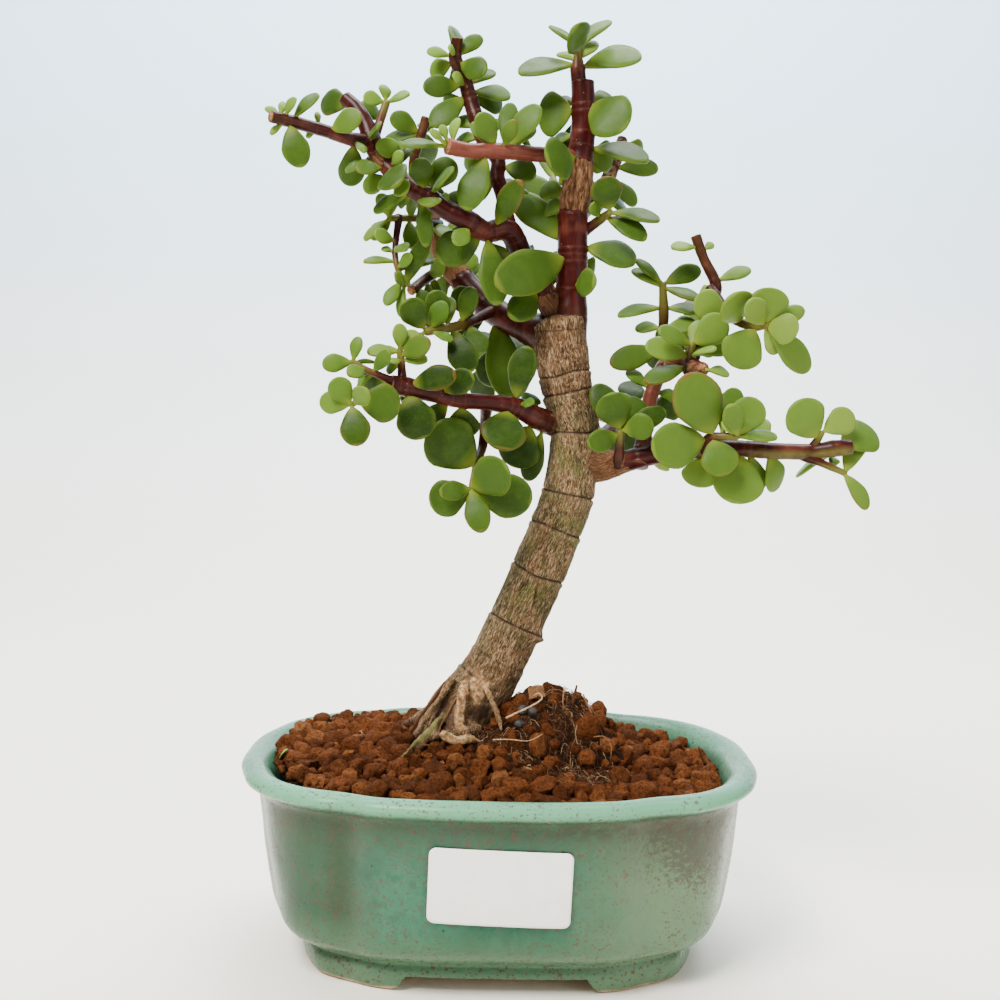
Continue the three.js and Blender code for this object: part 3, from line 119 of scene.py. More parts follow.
# Every leafy shoot of the tree: its node, its name, how it ends, its stem and its leaves. A stem is
# a list of (x, y, z, radius). A leaf is (x, z, dx, dy, dz, width, face): where it leaves the stem
# as seen from the front, the way to its tip, the blade's width, and how far its upper side is
# turned up from the front.
SHOOTS = [
    growth("leader", "leader", "cut", [
        (18.5, 0, 188.5, 4.8), (19, 0, 203.5, 4.5), (19, 0, 218.5, 4.4), (20, 0, 226, 4.5),
        (20.5, 0, 233, 4.1), (21, 0, 237.5, 3.7), (21.5, 0, 246, 3.6), (21, 0, 257, 3.4),
    ], [
        (19, 249, -11, 4, -1, 14.5, 10), (19, 250, -7, 8, 5, 5, 30), (23, 251, 7, 7, 4, 5, 30),
        (23, 251, 10, -10, -9, 14.5, 0), (20, 242, -8, 5, -2, 7, 50), (19, 240, -10, 10, 1, 5.5, 30),
        (25, 238, 16, -2, -3, 11, 50), (24, 210, 14, 0, -5, 11, 35), (17, 198, 8, -17, -1, 8.5, 0),
        (15, 207, -21, -17, -13, 13.5, 0), (15, 208, -13, -2, 20, 10, 10), (14, 205, -7, 2, -10, 7, 30),
        (18, 224, -8, 7, 2, 7, 20), (17, 218, -6, 6, 3, 7.5, 20), (23, 226, 4, 7, 0, 6.5, 20),
    ]),
    growth("leader", "top_shoot", "tip", [
        (20, 0, 256, 1.9), (19.5, 0, 260.5, 2.3), (19.5, 0, 263.5, 1.4), (19.5, 0, 267.5, 1.2),
    ], [
        (19, 262, -17, -4, -3, 11, 50), (21, 261, 17, 0, 5, 12, 45), (19, 263, -5, 6, 4, 5, 40),
        (21, 263, 4, 6, 5, 5, 30), (19, 266, -1, -17, 1, 10, 0), (18, 267, -7, 5, 7, 5.5, 55),
        (21, 267, 8, 4, 9, 7, 50),
    ]),
    growth("twig_front", "twig_front", "cut", [
        (19.5, -3, 234.5, 2.4), (8.5, -6.5, 234.5, 2.2), (-2.5, -13, 234, 2.3), (-11.5, -17.5, 233, 2.1),
        (-17.5, -21, 233.5, 2.3),
    ], [
        (19, 234, -10, -11, -3, 13, 0), (-19, 235, -11, -4, -2, 7, 60), (-18, 235, -4, -4, 2, 2.5, 20),
        (-17, 235, -2, -2, 4, 3, 30), (-16, 235, 1, 2, 7, 4, 40), (-4, 237, -5, -6, 6, 7, 10),
        (-4, 237, -7, 1, 5, 6, 35), (-2, 238, 10, -1, 9, 8.5, 25), (-3, 237, 4, -7, 4, 4.5, 10),
        (-2, 237, 2, 7, 12, 6, 10), (-1, 237, 7, 5, 6, 7.5, 30), (7, 236, -2, 0, 8, 5, 60),
        (-6, 232, -6, -5, -16, 9.5, 20), (-7, 231, -6, 6, -1, 5.5, 20),
    ]),
    growth("shoot_up", "shoot_up", "cut", [
        (-0.5, -7, 213, 2.5), (-1.5, -6.5, 221.5, 2.3), (-3.5, -5, 228, 2.2), (-3.5, -3, 233.5, 2.2),
        (-7.5, 0, 239, 2.2), (-10, 1.5, 246, 2.3), (-12, 3, 252, 2.3), (-14, 3, 258.5, 2.1),
        (-16.5, 1.5, 263.5, 2), (-16, 0, 269, 1.7),
    ], [
        (-18, 264, -7, -1, 1, 4.5, 30), (-15, 264, -3, -6, 1, 3.5, 45), (-14, 264, 5, 2, 7, 5.5, 15),
        (-15, 263, 8, -7, -5, 7.5, 0), (-12, 256, 7, 5, 6, 5.5, 35), (-11, 255, 11, 0, -2, 7.5, 40),
        (-17, 263, -7, 5, -3, 7, 15), (-17, 255, -9, -2, 0, 7, 5), (-17, 254, 1, -6, 4, 4.5, 40),
        (-15, 253, -8, -4, -10, 8.5, 20), (-11, 243, -5, 5, 4, 5.5, 20), (-9, 240, -7, 6, 1, 5, 30),
        (-3, 232, 10, -2, -5, 8.5, 20),
    ]),
    growth("limb_fork", "limb_fork", "cut", [
        (13, 0, 192, 3.6), (5, -2.5, 204, 3.3), (0, -7, 212.5, 3.3), (-6.5, -11, 211.5, 3),
        (-11.5, -14.5, 214, 3), (-17, -14.5, 216.5, 2.9), (-22.5, -14.5, 220, 2.8),
        (-27.5, -14.5, 222.5, 2.5), (-33.5, -13, 227.5, 2.4), (-37.5, -11, 232, 2.4),
        (-39.5, -9.5, 236.5, 2.9), (-41.5, -8, 241.5, 2.5), (-44.5, -6.5, 246.5, 2.3), (-48, -5, 250, 2.1),
    ], [
        (-6, 216, 9, -12, 8, 7.5, 15), (9, 197, -9, -11, -12, 9, 0), (-6, 210, -14, -4, -7, 11, 5),
        (-7, 210, 1, -6, -20, 9, 15), (-5, 210, 1, 0, -9, 5.5, 40), (-8, 216, -7, -6, -9, 5.5, 5),
        (-23, 223, -2, -7, 7, 7, 0), (-22, 223, 6, -1, 8, 8.5, 10), (-22, 222, 10, -6, 2, 7, 50),
        (-21, 222, 4, -1, -2, 4, 20), (-20, 221, 8, 6, 0, 5.5, 20), (-35, 229, 0, -2, 8, 7, 15),
        (-35, 229, 4, 2, 8, 5.5, 30), (-34, 229, 4, -6, 3, 4, 15), (-39, 230, -8, -2, -2, 5, 50),
        (-36, 228, -7, -6, -1, 6, 30), (-35, 228, 9, -13, -8, 10.5, 0), (-34, 225, -8, 1, -2, 6.5, 15),
        (-33, 228, 4, 7, 9, 5, 20), (-27, 218, 4, -5, -12, 5, 15), (-29, 219, -10, 7, -2, 5, 30),
    ]),
    growth("twig_left", "twig_left", "cut", [
        (-41, -9.5, 236.5, 2.1), (-47, -13, 237, 1.9), (-52.5, -14.5, 238.5, 1.8), (-61.5, -19, 240, 1.8),
        (-66.5, -22.5, 240.5, 1.7),
    ], [
        (-62, 239, 4, -2, -12, 8, 5), (-61, 242, 7, 0, 6, 6, 45), (-63, 242, 3, -2, 4, 4, 40),
        (-63, 242, -5, -1, 2, 3, 40), (-64, 242, -2, 4, 4, 2.5, 30), (-63, 238, -4, 0, -2, 2.5, 30),
        (-52, 239, 10, -5, 3, 7.5, 15), (-54, 240, -1, 2, 4, 2, 20), (-54, 238, -4, 2, -1, 2.5, 30),
        (-45, 235, -1, 4, -12, 8, 10), (-45, 235, 2, -2, -5, 3.5, 40),
    ]),
    growth("twig_tall", "twig_tall", "tip", [
        (-39, -8, 238.5, 1.3), (-36, -6.5, 248.5, 1.2),
    ], [
        (-36, 248, -7, -1, 1, 5, 10), (-36, 248, -1, 2, 6, 4.5, 45), (-35, 248, 6, -4, 2, 5, 45),
    ]),
    growth("limb_left", "limb_left", "cut", [
        (12.5, 1.5, 183, 4.4), (4, 8, 186.5, 4.3), (-5, 13, 191.5, 4.2), (-11.5, 16, 197.5, 4),
        (-18, 19, 206, 3.9), (-22, 21, 214, 3.5), (-25, 21, 221, 2.8), (-28.5, 21, 228.5, 1.7),
        (-30, 21, 236, 1.4), (-28, 21, 243.5, 1.5), (-26, 21, 250.5, 1.6),
    ], [
        (-30, 246, -7, -1, 5, 6.5, 5), (-30, 246, -10, -2, 0, 6, 30), (-29, 246, 2, 2, 4, 4, 40),
        (-28, 245, 4, 4, 5, 4, 30), (-7, 187, 8, -6, -23, 12, 10), (-21, 203, -3, 5, -8, 6, 20),
        (-25, 223, 5, 2, 4, 4.5, 20), (-24, 220, 8, -2, 3, 4, 15), (-22, 216, 0, 4, 8, 4, 30),
        (-21, 214, 6, -4, 4, 4.5, 20), (-20, 210, 7, 0, 3, 5, 30), (-18, 207, 9, -2, -1, 6, 20),
        (-14, 201, 8, 4, 0, 6, 30),
    ]),
    growth("twig_inner", "twig_inner", "cut", [
        (-20, 19, 204.5, 1.8), (-25, 8, 199.5, 1.6), (-28.5, 0, 195.5, 1.5),
    ], [
        (-25, 200, 2, -1, -10, 5, 30), (-21, 200, -2, 4, -9, 6, 30), (-28, 196, -5, 4, 4, 4.5, 30),
    ]),
    growth("twig_centre", "twig_centre", "tip", [
        (-4, 11, 191, 1.7), (-13.5, -6.5, 185, 1.5), (-23, -14.5, 182.5, 1.3),
    ], [
        (-24, 183, -5, -4, 8, 8.5, 5), (-22, 183, 4, -2, 8, 6, 15), (-13, 185, 3, -2, 11, 6.5, 20),
        (-22, 182, 7, 0, -1, 4, 50), (-6, 189, -9, -5, -6, 6.5, 10), (-16, 184, 6, -4, -13, 9, 0),
        (-23, 182, -7, 0, -4, 5, 20), (-17, 184, 0, 5, 9, 5.5, 20),
    ]),
    growth("twig_low", "twig_low", "tip", [
        (-22, 19, 218, 1.3), (-26.5, 6.5, 217.5, 1.2), (-35, -3, 216, 1),
    ], [
        (-36, 216, -2, -1, 7, 5, 25), (-35, 216, 1, 4, 7, 4.5, 20), (-33, 215, 3, -4, 5, 4.5, 20),
        (-36, 215, -6, -2, -6, 4.5, 45), (-34, 214, -5, 2, -5, 5.5, 20), (-33, 215, -3, -5, -5, 4, 20),
    ]),
    growth("twig_low", "twig_hanging", "tip", [
        (-32.5, -0.5, 216, 1.1), (-33, -5.5, 206.5, 0.9), (-32, -8, 201, 0.9), (-30, -8, 196, 0.8),
    ], [
        (-33, 203, -9, -1, 0, 4.5, 60), (-33, 206, -4, 0, 1, 3, 55), (-28, 197, 1, -4, 14, 5.5, 15),
        (-30, 196, -3, -2, 6, 3.5, 30), (-31, 201, 9, 2, 4, 4.5, 50), (-32, 197, -3, -1, -8, 4.5, 10),
        (-30, 196, -2, -5, -8, 3.5, 30),
    ]),
    growth("branch_low", "branch_low", "cut", [
        (11.5, -5, 157, 3.6), (4, -9.5, 161, 3), (-4.5, -14.5, 162.5, 2.3), (-13, -17.5, 163, 2.3),
        (-21.5, -21, 165, 2.6), (-28.5, -24, 166.5, 2.8), (-32, -25.5, 167, 2.6),
    ], [
        (-28, 168, 14, -5, 2, 7.5, 10), (-19, 163, 10, -6, 7, 7.5, 10), (-29, 164, 6, -2, -12, 11.5, 0),
        (-13, 162, 1, 4, -10, 10.5, 5), (1, 162, -4, -11, -12, 13.5, 0), (8, 157, -6, 4, -13, 13, 5),
        (10, 154, -2, 8, -13, 7, 10), (11, 155, -1, -2, 5, 3.5, 20), (5, 163, 5, 7, 5, 6.5, 15),
        (3, 164, 5, -4, -1, 4, 55), (3, 164, 3, -2, 15, 8.5, 10),
    ]),
    growth("branch_low", "twig_drop", "tip", [
        (-5.5, -14.5, 162, 1.7), (-6, -9, 156, 1.5), (-6.5, -9, 150, 1.4), (-8, -14.5, 145, 1.2),
        (-9.5, -19, 138, 0.8),
    ], [
        (-9, 144, -12, -2, 12, 16, 0), (-10, 138, -8, -6, -1, 6, 10), (-9, 137, -12, -1, -4, 11, 0),
        (-9, 138, 10, -7, 7, 12.5, 0), (-8, 138, 16, 2, -3, 13, 0), (-9, 137, 3, -6, -11, 7.5, 0),
    ]),
    growth("twig_low_up", "twig_low_up", "tip", [
        (-29, -24, 167.5, 1.3), (-29.5, -22.5, 173, 1.1), (-30, -22.5, 176.5, 0.9),
    ], [
        (-30, 177, 0, -2, 7, 4.5, 15), (-29, 177, 4, 1, 5, 5.5, 15), (-29, 175, 8, -6, 4, 6.5, 10),
        (-29, 174, 7, -1, 0, 4.5, 45), (-31, 176, -8, -2, 0, 5.5, 50), (-31, 177, -7, 4, 1, 3.5, 50),
        (-29, 174, -3, -5, -1, 3, 50), (-30, 173, -4, 4, -2, 4, 35),
    ]),
    growth("branch_low_end", "twig_low_left", "tip", [
        (-30.5, -25.5, 167.5, 1.2), (-35.5, -27, 169.5, 1), (-39, -27, 171, 0.9), (-42.5, -27, 173, 0.7),
    ], [
        (-37, 170, 5, -5, 6, 4.5, 15), (-43, 173, -8, -1, -1, 5.5, 10), (-43, 173, 2, 0, 7, 4, 20),
        (-42, 173, 3, 2, 6, 3, 45), (-39, 172, -7, -5, -3, 5, 20), (-37, 169, -5, 4, -3, 3, 40),
    ]),
    growth("branch_low_end", "twig_low_front", "tip", [
        (-31, -25.5, 166.5, 1.2), (-37.5, -29, 164.5, 1), (-42, -33.5, 161, 0.8),
    ], [
        (-43, 162, -4, -2, 6, 7, 0), (-43, 162, -8, -2, 0, 6.5, 0), (-42, 162, 5, -7, 3, 6, 0),
        (-40, 161, 11, 2, 0, 11, 0), (-42, 160, 2, -4, -10, 8.5, 0),
    ]),
    growth("branch_right", "branch_right", "cut", [
        (26.5, 0, 145.5, 3.9), (32, -1.5, 145, 3.4), (42.5, -6.5, 148, 3.1), (53.5, -11, 150, 2.9),
        (67.5, -13, 150.5, 2.4), (77.5, -14.5, 150, 2.4), (88, -14.5, 150, 2.3), (94, -16, 151, 2.5),
        (99, -16, 151.5, 2.2),
    ], [
        (48, 148, -3, 4, -5, 6, 10), (57, 151, -1, -1, -12, 11, 0), (69, 150, -4, -5, -15, 15.5, 0),
        (70, 150, 5, 4, -12, 6, 10),
    ]),
    growth("branch_right", "rosette_mid", "tip", [
        (57, -13, 150, 1.5), (58, -17.5, 153.5, 1.3), (61.5, -20, 154, 1.2), (65.5, -21, 154, 1),
    ], [
        (59, 155, -9, -7, 16, 14.5, 0), (57, 154, -16, -5, -4, 13.5, 0), (59, 153, 2, -8, -8, 11, 0),
        (61, 154, 5, 5, 14, 7.5, 5), (66, 154, -4, -7, 9, 6.5, 0), (66, 154, 4, -2, 11, 10, 10),
        (66, 154, 10, -4, 0, 6, 60), (66, 154, -5, 4, 2, 4.5, 40), (67, 154, 9, 4, 2, 4.5, 50),
    ]),
    growth("branch_right", "rosette_trunk", "tip", [
        (33.5, -5, 146, 1.5), (33.5, -9.5, 155, 1.2),
    ], [
        (33, 155, -3, -4, 11, 11, 0), (33, 156, -7, 5, 12, 8.5, 10), (34, 155, 6, 2, 12, 9.5, 10),
        (34, 155, 8, -6, 2, 8, 5), (36, 155, 10, 6, 5, 6.5, 10), (33, 154, -9, -5, -3, 7, 5),
    ]),
    growth("branch_right", "twig_end_up", "tip", [
        (88, -14.5, 150.5, 1.4), (90.5, -16, 155.5, 0.9),
    ], [
        (89, 154, -7, -4, 10, 12.5, 0), (91, 155, 9, 0, 5, 8.5, 5),
    ]),
    growth("branch_right", "twig_end_low", "tip", [
        (86.5, -14.5, 148.5, 1.4), (91.5, -16, 146.5, 1.1), (97.5, -16, 144, 0.9),
    ], [
        (98, 144, 6, 10, 13, 7.5, 5), (97, 144, 7, -2, -10, 5.5, 25), (94, 146, 2, 5, 3, 3.5, 20),
    ]),
    growth("branch_upper", "branch_upper", "cut", [
        (40, -5, 147.5, 2.5), (42, 0, 157, 2.2), (43.5, 1.5, 166, 2.2), (48, 1.5, 175.5, 2.3),
        (53.5, -6.5, 174.5, 2.1), (56, -16, 173, 2),
    ], [
        (43, 167, -7, 2, 6, 5, 35), (45, 167, 7, 4, -2, 5, 40), (53, 173, -13, -5, -4, 7.5, 45),
        (56, 173, 8, 2, -1, 5, 50),
    ]),
    growth("branch_upper", "twig_mid", "tip", [
        (53.5, -6.5, 174, 1.6), (53.5, -9.5, 178.5, 1.3), (53.5, -11, 180.5, 1),
    ], [
        (53, 180, -10, -5, 4, 6.5, 35), (54, 180, 9, 1, 8, 9.5, 0), (55, 178, 11, 5, 2, 6, 20),
        (53, 177, -13, -2, 3, 7.5, 20), (53, 177, 11, -5, -1, 6, 55), (53, 179, 4, 6, 8, 6, 20),
    ]),
    growth("branch_upper", "twig_straight", "tip", [
        (47.5, 1.5, 175.5, 1.7), (47, 5, 184, 1.4), (47, 5, 190.5, 1.6), (46.5, 5, 199, 1.1),
    ], [
        (48, 200, -9, -2, 7, 5, 45), (48, 200, 10, 2, 4, 6.5, 15), (46, 198, -9, 1, 5, 6.5, 50),
        (47, 198, 10, -5, -4, 6.5, 50), (46, 192, -13, 0, -2, 7, 55), (48, 192, 10, 0, -1, 6.5, 50),
        (46, 186, -7, 4, 0, 5.5, 45), (47, 186, 10, -2, 1, 7, 40), (46, 180, -15, 1, -6, 8, 15),
    ]),
    growth("branch_upper", "twig_cut", "cut", [
        (54, -5, 174.5, 1.9), (58, -1.5, 185, 1.8), (61, 0, 194, 1.8), (61.5, 0, 199, 1.7),
        (58, 1.5, 206.5, 1.5), (55.5, 1.5, 213, 1.6),
    ], [
        (58, 210, -10, -2, -1, 5.5, 50), (58, 209, 3, 1, 2, 3, 30), (62, 200, 10, 0, 3, 6, 45),
        (61, 198, -5, 2, -2, 4.5, 35),
    ]),
    growth("rosette_right", "rosette_right", "tip", [
        (60.5, -1.5, 196.5, 1.4), (65.5, -8, 188.5, 1.5), (70, -14.5, 185.5, 1.4), (73.5, -19, 185.5, 0.9),
    ], [
        (74, 185, 13, 6, -12, 8.5, 10), (64, 189, -9, -5, 4, 9.5, 0), (68, 188, -9, -8, 9, 11.5, 0),
        (73, 186, 1, 2, 10, 11.5, 0), (73, 185, -6, -6, 7, 7.5, 0), (73, 185, 9, -4, -1, 9, 0),
        (75, 187, 10, 5, 4, 5.5, 10), (73, 184, 5, -4, -5, 6, 15), (71, 185, -5, -5, -11, 12.5, 0),
        (71, 185, 9, 10, 7, 6, 10),
    ]),
    growth("twig_behind", "twig_behind", "cut", [
        (21.5, 5, 220, 2.5), (28, 14.5, 228, 2.3), (31.5, 19, 235, 2.1), (35, 22.5, 245.5, 1.6),
    ], [
        (33, 235, 13, -1, 1, 7, 25), (32, 233, 7, -1, -9, 6.5, 35), (31, 235, -6, -2, 2, 6.5, 20),
    ]),
    growth("twig_side", "twig_side", "tip", [
        (20.5, 3, 212.5, 1.7), (27, -1.5, 217, 1.4), (29.5, -5, 218.5, 1),
    ], [
        (30, 218, -3, -4, 10, 10, 5), (30, 218, 14, -1, -2, 7.5, 50), (28, 218, 12, -5, -7, 7.5, 30),
        (27, 217, -3, -4, 4, 4.5, 15),
    ]),
    growth("shoot_back_high", "shoot_back_high", "tip", [
        (19.5, 2, 216, 2.3), (18, 14, 222.5, 2), (15.5, 26, 229.5, 1.7), (14, 36, 235, 1.3),
    ]),
    growth("shoot_back_low", "shoot_back_low", "tip", [
        (15, 4, 178, 2.5), (9, 18, 177, 2.1), (0.5, 32, 177, 1.7), (-5.5, 44, 176, 1.3),
    ]),
    growth("shoot_back_right", "shoot_back_right", "tip", [
        (25.5, 5, 149.5, 2.3), (33, 20, 155.5, 2), (39.5, 34, 161.5, 1.4),
    ]),
    growth("shoot_back_upper", "shoot_back_upper", "tip", [
        (48.5, 3, 175, 1.8), (54, 16, 181.5, 1.6), (59, 28, 187, 1.2),
    ]),
]

# Pairs of leaves on the far side: (shoot, first and last place along it, pairs, leaf length)
FAR_PAIRS = [
    ("leader", 0.15, 0.9, 4, 12), ("limb_fork", 0.1, 0.95, 5, 12), ("limb_left", 0.35, 0.95, 4, 12),
    ("shoot_up", 0.2, 0.9, 4, 11), ("branch_low", 0.2, 0.9, 3, 13),
    ("branch_right", 0.3, 0.9, 3, 14), ("branch_upper", 0.3, 0.9, 2, 12),
    ("twig_behind", 0.3, 0.9, 3, 12), ("shoot_back_high", 0.4, 1, 4, 13),
    ("shoot_back_low", 0.4, 1, 4, 13), ("shoot_back_right", 0.4, 1, 4, 13),
    ("shoot_back_upper", 0.4, 1, 4, 12),
]
FAR_SEED = 20261
FAR_STRAY = 0.8
# Least value and range of a far leaf's length, its lean to the back, its width and its face
FAR_LENGTH, FAR_BACK, FAR_WIDTH, FAR_FACE = (0.75, 0.5), (0.55, 0.4), (0.66, 0.14), (-30, 90)
FAR_REACH = 0.8
# Small young leaves that only the fine model has, placed after all the others
YOUNG_EXTRAS = {
    "twig_low": [
        (-24, 218, -1, -6, 8, 5.5, 20), (-26, 217, 0, -6, -8, 6, 20), (-29, 217, -3, -6, 7, 5, 30),
        (-30, 217, 2, -6, -8, 5, 20), (-22, 218, 3, -7, -8, 6, 25), (-32, 216, -1, -5, 7, 4.5, 40),
    ],
    "twig_centre": [
        (-9, 187, -5, -7, 8, 7.5, 10), (-18, 184, -3, -4, 10, 7.5, 10), (-11, 186, 3, -6, -10, 8, 10),
        (-20, 183, -6, -3, 9, 6, 20),
    ],
    "twig_inner": [(-24, 200, 5, -7, 4, 6, 15), (-27, 197, 4, -6, -6, 5.5, 15)],
    "limb_fork": [
        (-26, 232, 0, -8, -8, 6, 15), (-20, 226, -2, -9, -9, 7, 15), (-32, 240, 1, -8, -7, 5.5, 20),
    ],
    "twig_hanging": [
        (-33, 207, 5, -4, -4, 5, 20), (-33, 209, -6, -4, 2, 5, 20), (-32, 201, 5, -4, 3, 4.5, 30),
    ],
}

# Ways a leaf may bend to clear the others, tried in turn: degrees sideways and upward
SWINGS = [
    (0, 0), (0, 8), (0, -8), (0, 16), (0, -16), (8, 0), (-8, 0), (0, 24), (0, -24), (8, 16), (-8, 16),
    (8, -16), (-8, -16), (16, 0), (-16, 0), (0, 32), (0, -32), (16, 24), (-16, 24), (16, -24),
    (-16, -24), (0, 42), (0, -42), (28, 0), (-28, 0), (28, 32), (-28, 32), (28, -32), (-28, -32),
    (0, 55), (0, -55),
]


# ------------------------------------------------------------------ meshes

def add_marks(mesh, marks):
    """Point attributes for the materials, each a number or a vector a point."""
    for key, values in marks.items():
        values = np.asarray(values, np.float32)
        kind, field = ("FLOAT", "value") if values.ndim == 1 else ("FLOAT_VECTOR", "vector")
        mesh.attributes.new(key, kind, "POINT").data.foreach_set(field, values.ravel())


def mesh_object(name, points, faces, material, marks=None):
    """An object in the row frame from points in millimetres about the pot's middle."""
    mesh = bpy.data.meshes.new(name)
    mesh.from_pydata((np.asarray(points) * MM + ORIGIN).tolist(), [], [list(map(int, f)) for f in faces])
    add_marks(mesh, marks or {})
    mesh.materials.append(material)
    mesh.polygons.foreach_set("use_smooth", [True] * len(mesh.polygons))
    mesh.update()
    made = bpy.data.objects.new(name, mesh)
    bpy.context.scene.collection.objects.link(made)
    return made


def finished(piece, slot, *nodes):
    """A piece of the potted tree that takes the place of CAD nodes."""
    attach(piece, "root")
    if nodes:
        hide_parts(*nodes)
    return piece


def apply_modifiers(piece):
    graph = bpy.context.evaluated_depsgraph_get()
    mesh = bpy.data.meshes.new_from_object(piece.evaluated_get(graph))
    old = piece.data
    piece.modifiers.clear()
    piece.data = mesh
    bpy.data.meshes.remove(old)


def loft_faces(levels, sides, first=0, closed_ends=True):
    """Faces of a tube of rings of equally many points, which run on from a first index."""
    faces = []
    for level in range(levels - 1):
        low = first + level * sides
        for side in range(sides):
            other = (side + 1) % sides
            faces.append((low + side, low + other, low + sides + other, low + sides + side))
    if closed_ends:
        last = first + (levels - 1) * sides
        faces.append(tuple(first + side for side in reversed(range(sides))))
        faces.append(tuple(last + side for side in range(sides)))
    return faces


def grid_faces(columns, rows):
    across = columns + 1
    corners = [row * across + column for row in range(rows) for column in range(columns)]
    return [(corner, corner + 1, corner + across + 1, corner + across) for corner in corners]


def grid_edge(columns, rows):
    """The points round the edge of a grid, by index."""
    across = columns + 1
    return (list(range(columns)) + [row * across + columns for row in range(rows)]
            + [rows * across + columns - column for column in range(columns)]
            + [(rows - row) * across for row in range(rows)])


def vectors_of(mesh, field):
    flat = np.empty(len(mesh.vertices) * 3, np.float32)
    mesh.vertices.foreach_get(field, flat)
    return flat.reshape(-1, 3).astype(float)


def unit(vector):
    return vector / np.linalg.norm(vector)


def smoothstep(low, high, value):
    share = np.clip((value - low) / (high - low), 0, 1)
    return share * share * (3 - 2 * share)


def rumple(points, size, octaves=3):
    """Smooth noise from -1 to 1 at each point, with features of about the given size."""
    return np.array([
        noise.fractal(Vector(point) / size, 0.8, 2.1, octaves, noise_basis="PERLIN_ORIGINAL")
        for point in np.asarray(points)
    ])


def draws_from(seed):
    """Repeatable draws between 0 and 1, the same ones as in the CAD."""
    state = seed
    while True:
        state = (state * 16807) % 2147483647
        yield state / 2147483647


# ------------------------------------------------------------------ materials

def add_node(tree, kind, inputs=None, **settings):
    node = tree.nodes.new(kind)
    for key, value in settings.items():
        setattr(node, key, value)
    for key, value in (inputs or {}).items():
        if isinstance(value, bpy.types.NodeSocket):
            tree.links.new(value, node.inputs[key])
        else:
            node.inputs[key].default_value = value
    return node


class Paint:
    """A material under construction: short names for the nodes that it is made of."""

    def __init__(self, name, **surface):
        self.material = bpy.data.materials.new(name)
        self.material.use_nodes = True
        self.tree = self.material.node_tree
        self.surface = self.tree.nodes["Principled BSDF"]
        for key, value in surface.items():
            self.surface.inputs[key.replace("_", " ")].default_value = value
        self.place = add_node(self.tree, "ShaderNodeTexCoord").outputs["Object"]

    def set(self, name, value):
        self.tree.links.new(value, self.surface.inputs[name])

    def value(self, name):
        return add_node(self.tree, "ShaderNodeAttribute", attribute_name=name).outputs["Fac"]

    def vector(self, name):
        return add_node(self.tree, "ShaderNodeAttribute", attribute_name=name).outputs["Vector"]

    def noise(self, size, vector=None, detail=3.0, roughness=0.5, distortion=0.0):
        """Noise with features of a size in millimetres of the object, or of the vector's unit."""
        scale = 1 / size if vector is not None else 1 / (size * MM)
        return add_node(self.tree, "ShaderNodeTexNoise", {
            "Vector": self.place if vector is None else vector, "Scale": scale, "Detail": detail,
            "Roughness": roughness, "Distortion": distortion,
        }).outputs["Fac"]

    def drawn_out(self, vector, scale, size=1.0, **settings):
        """Noise that has its own scale along each axis of a vector."""
        node = add_node(self.tree, "ShaderNodeMapping", {"Vector": vector, "Scale": scale})
        return self.noise(size, node.outputs[0], **settings)

    def patches(self, size, low, high, **settings):
        """Patches of a size, 0 where their noise is below low and 1 where it is above high."""
        return self.between(self.noise(size, **settings), low, high)

    def ragged(self, size, amount, **settings):
        """Noise about zero, to break up the edge of something."""
        return self.times(self.minus(self.noise(size, **settings), 0.5), amount)

    def cells(self, size):
        """Distance from the middle of the nearest cell, in cell sizes."""
        return add_node(self.tree, "ShaderNodeTexVoronoi", {
            "Vector": self.place, "Scale": 1 / (size * MM), "Randomness": 1.0,
        }, feature="F1").outputs["Distance"]

    def between(self, value, low, high):
        """0 below low, 1 above high, and smooth between them."""
        return add_node(self.tree, "ShaderNodeMapRange", {
            "Value": value, "From Min": low, "From Max": high,
        }, interpolation_type="SMOOTHSTEP").outputs["Result"]

    def ramp(self, value, *stops):
        node = add_node(self.tree, "ShaderNodeValToRGB", {"Fac": value})
        elements = node.color_ramp.elements
        while len(elements) < len(stops):
            elements.new(0.5)
        for element, (position, colour) in zip(elements, stops):
            element.position = position
            element.color = (*colour, 1)
        return node.outputs["Color"]

    def mix(self, share, a, b):
        node = self.tree.nodes.new("ShaderNodeMix")
        node.data_type = "RGBA"
        for socket, value in ((node.inputs[0], share), (node.inputs[6], a), (node.inputs[7], b)):
            if isinstance(value, bpy.types.NodeSocket):
                self.tree.links.new(value, socket)
            else:
                socket.default_value = (*value, 1) if isinstance(value, tuple) else value
        return node.outputs[2]

    def over(self, under, colour, share, amount):
        """A colour laid over another one by a share, and by the amount at most."""
        return self.mix(self.times(share, amount), under, colour)

    def math(self, operation, a, b=0.0, clamp=False):
        return add_node(self.tree, "ShaderNodeMath", {0: a, 1: b}, operation=operation,
                        use_clamp=clamp).outputs[0]

    def times(self, a, b, clamp=False):
        return self.math("MULTIPLY", a, b, clamp)

    def plus(self, a, b, clamp=False):
        return self.math("ADD", a, b, clamp)

    def minus(self, a, b):
        return self.math("SUBTRACT", a, b)

    def larger(self, a, b):
        return self.math("MAXIMUM", a, b)

    def height(self, value):
        """The share of a vector that points up."""
        return add_node(self.tree, "ShaderNodeSeparateXYZ", {"Vector": value}).outputs["Z"]

    def bump(self, value, depth, strength=1.0, over=None):
        """A normal from a relief of a depth in millimetres, over another such normal."""
        inputs = {"Height": value, "Distance": depth * MM, "Strength": strength}
        if over is not None:
            inputs["Normal"] = over
        return add_node(self.tree, "ShaderNodeBump", inputs).outputs["Normal"]


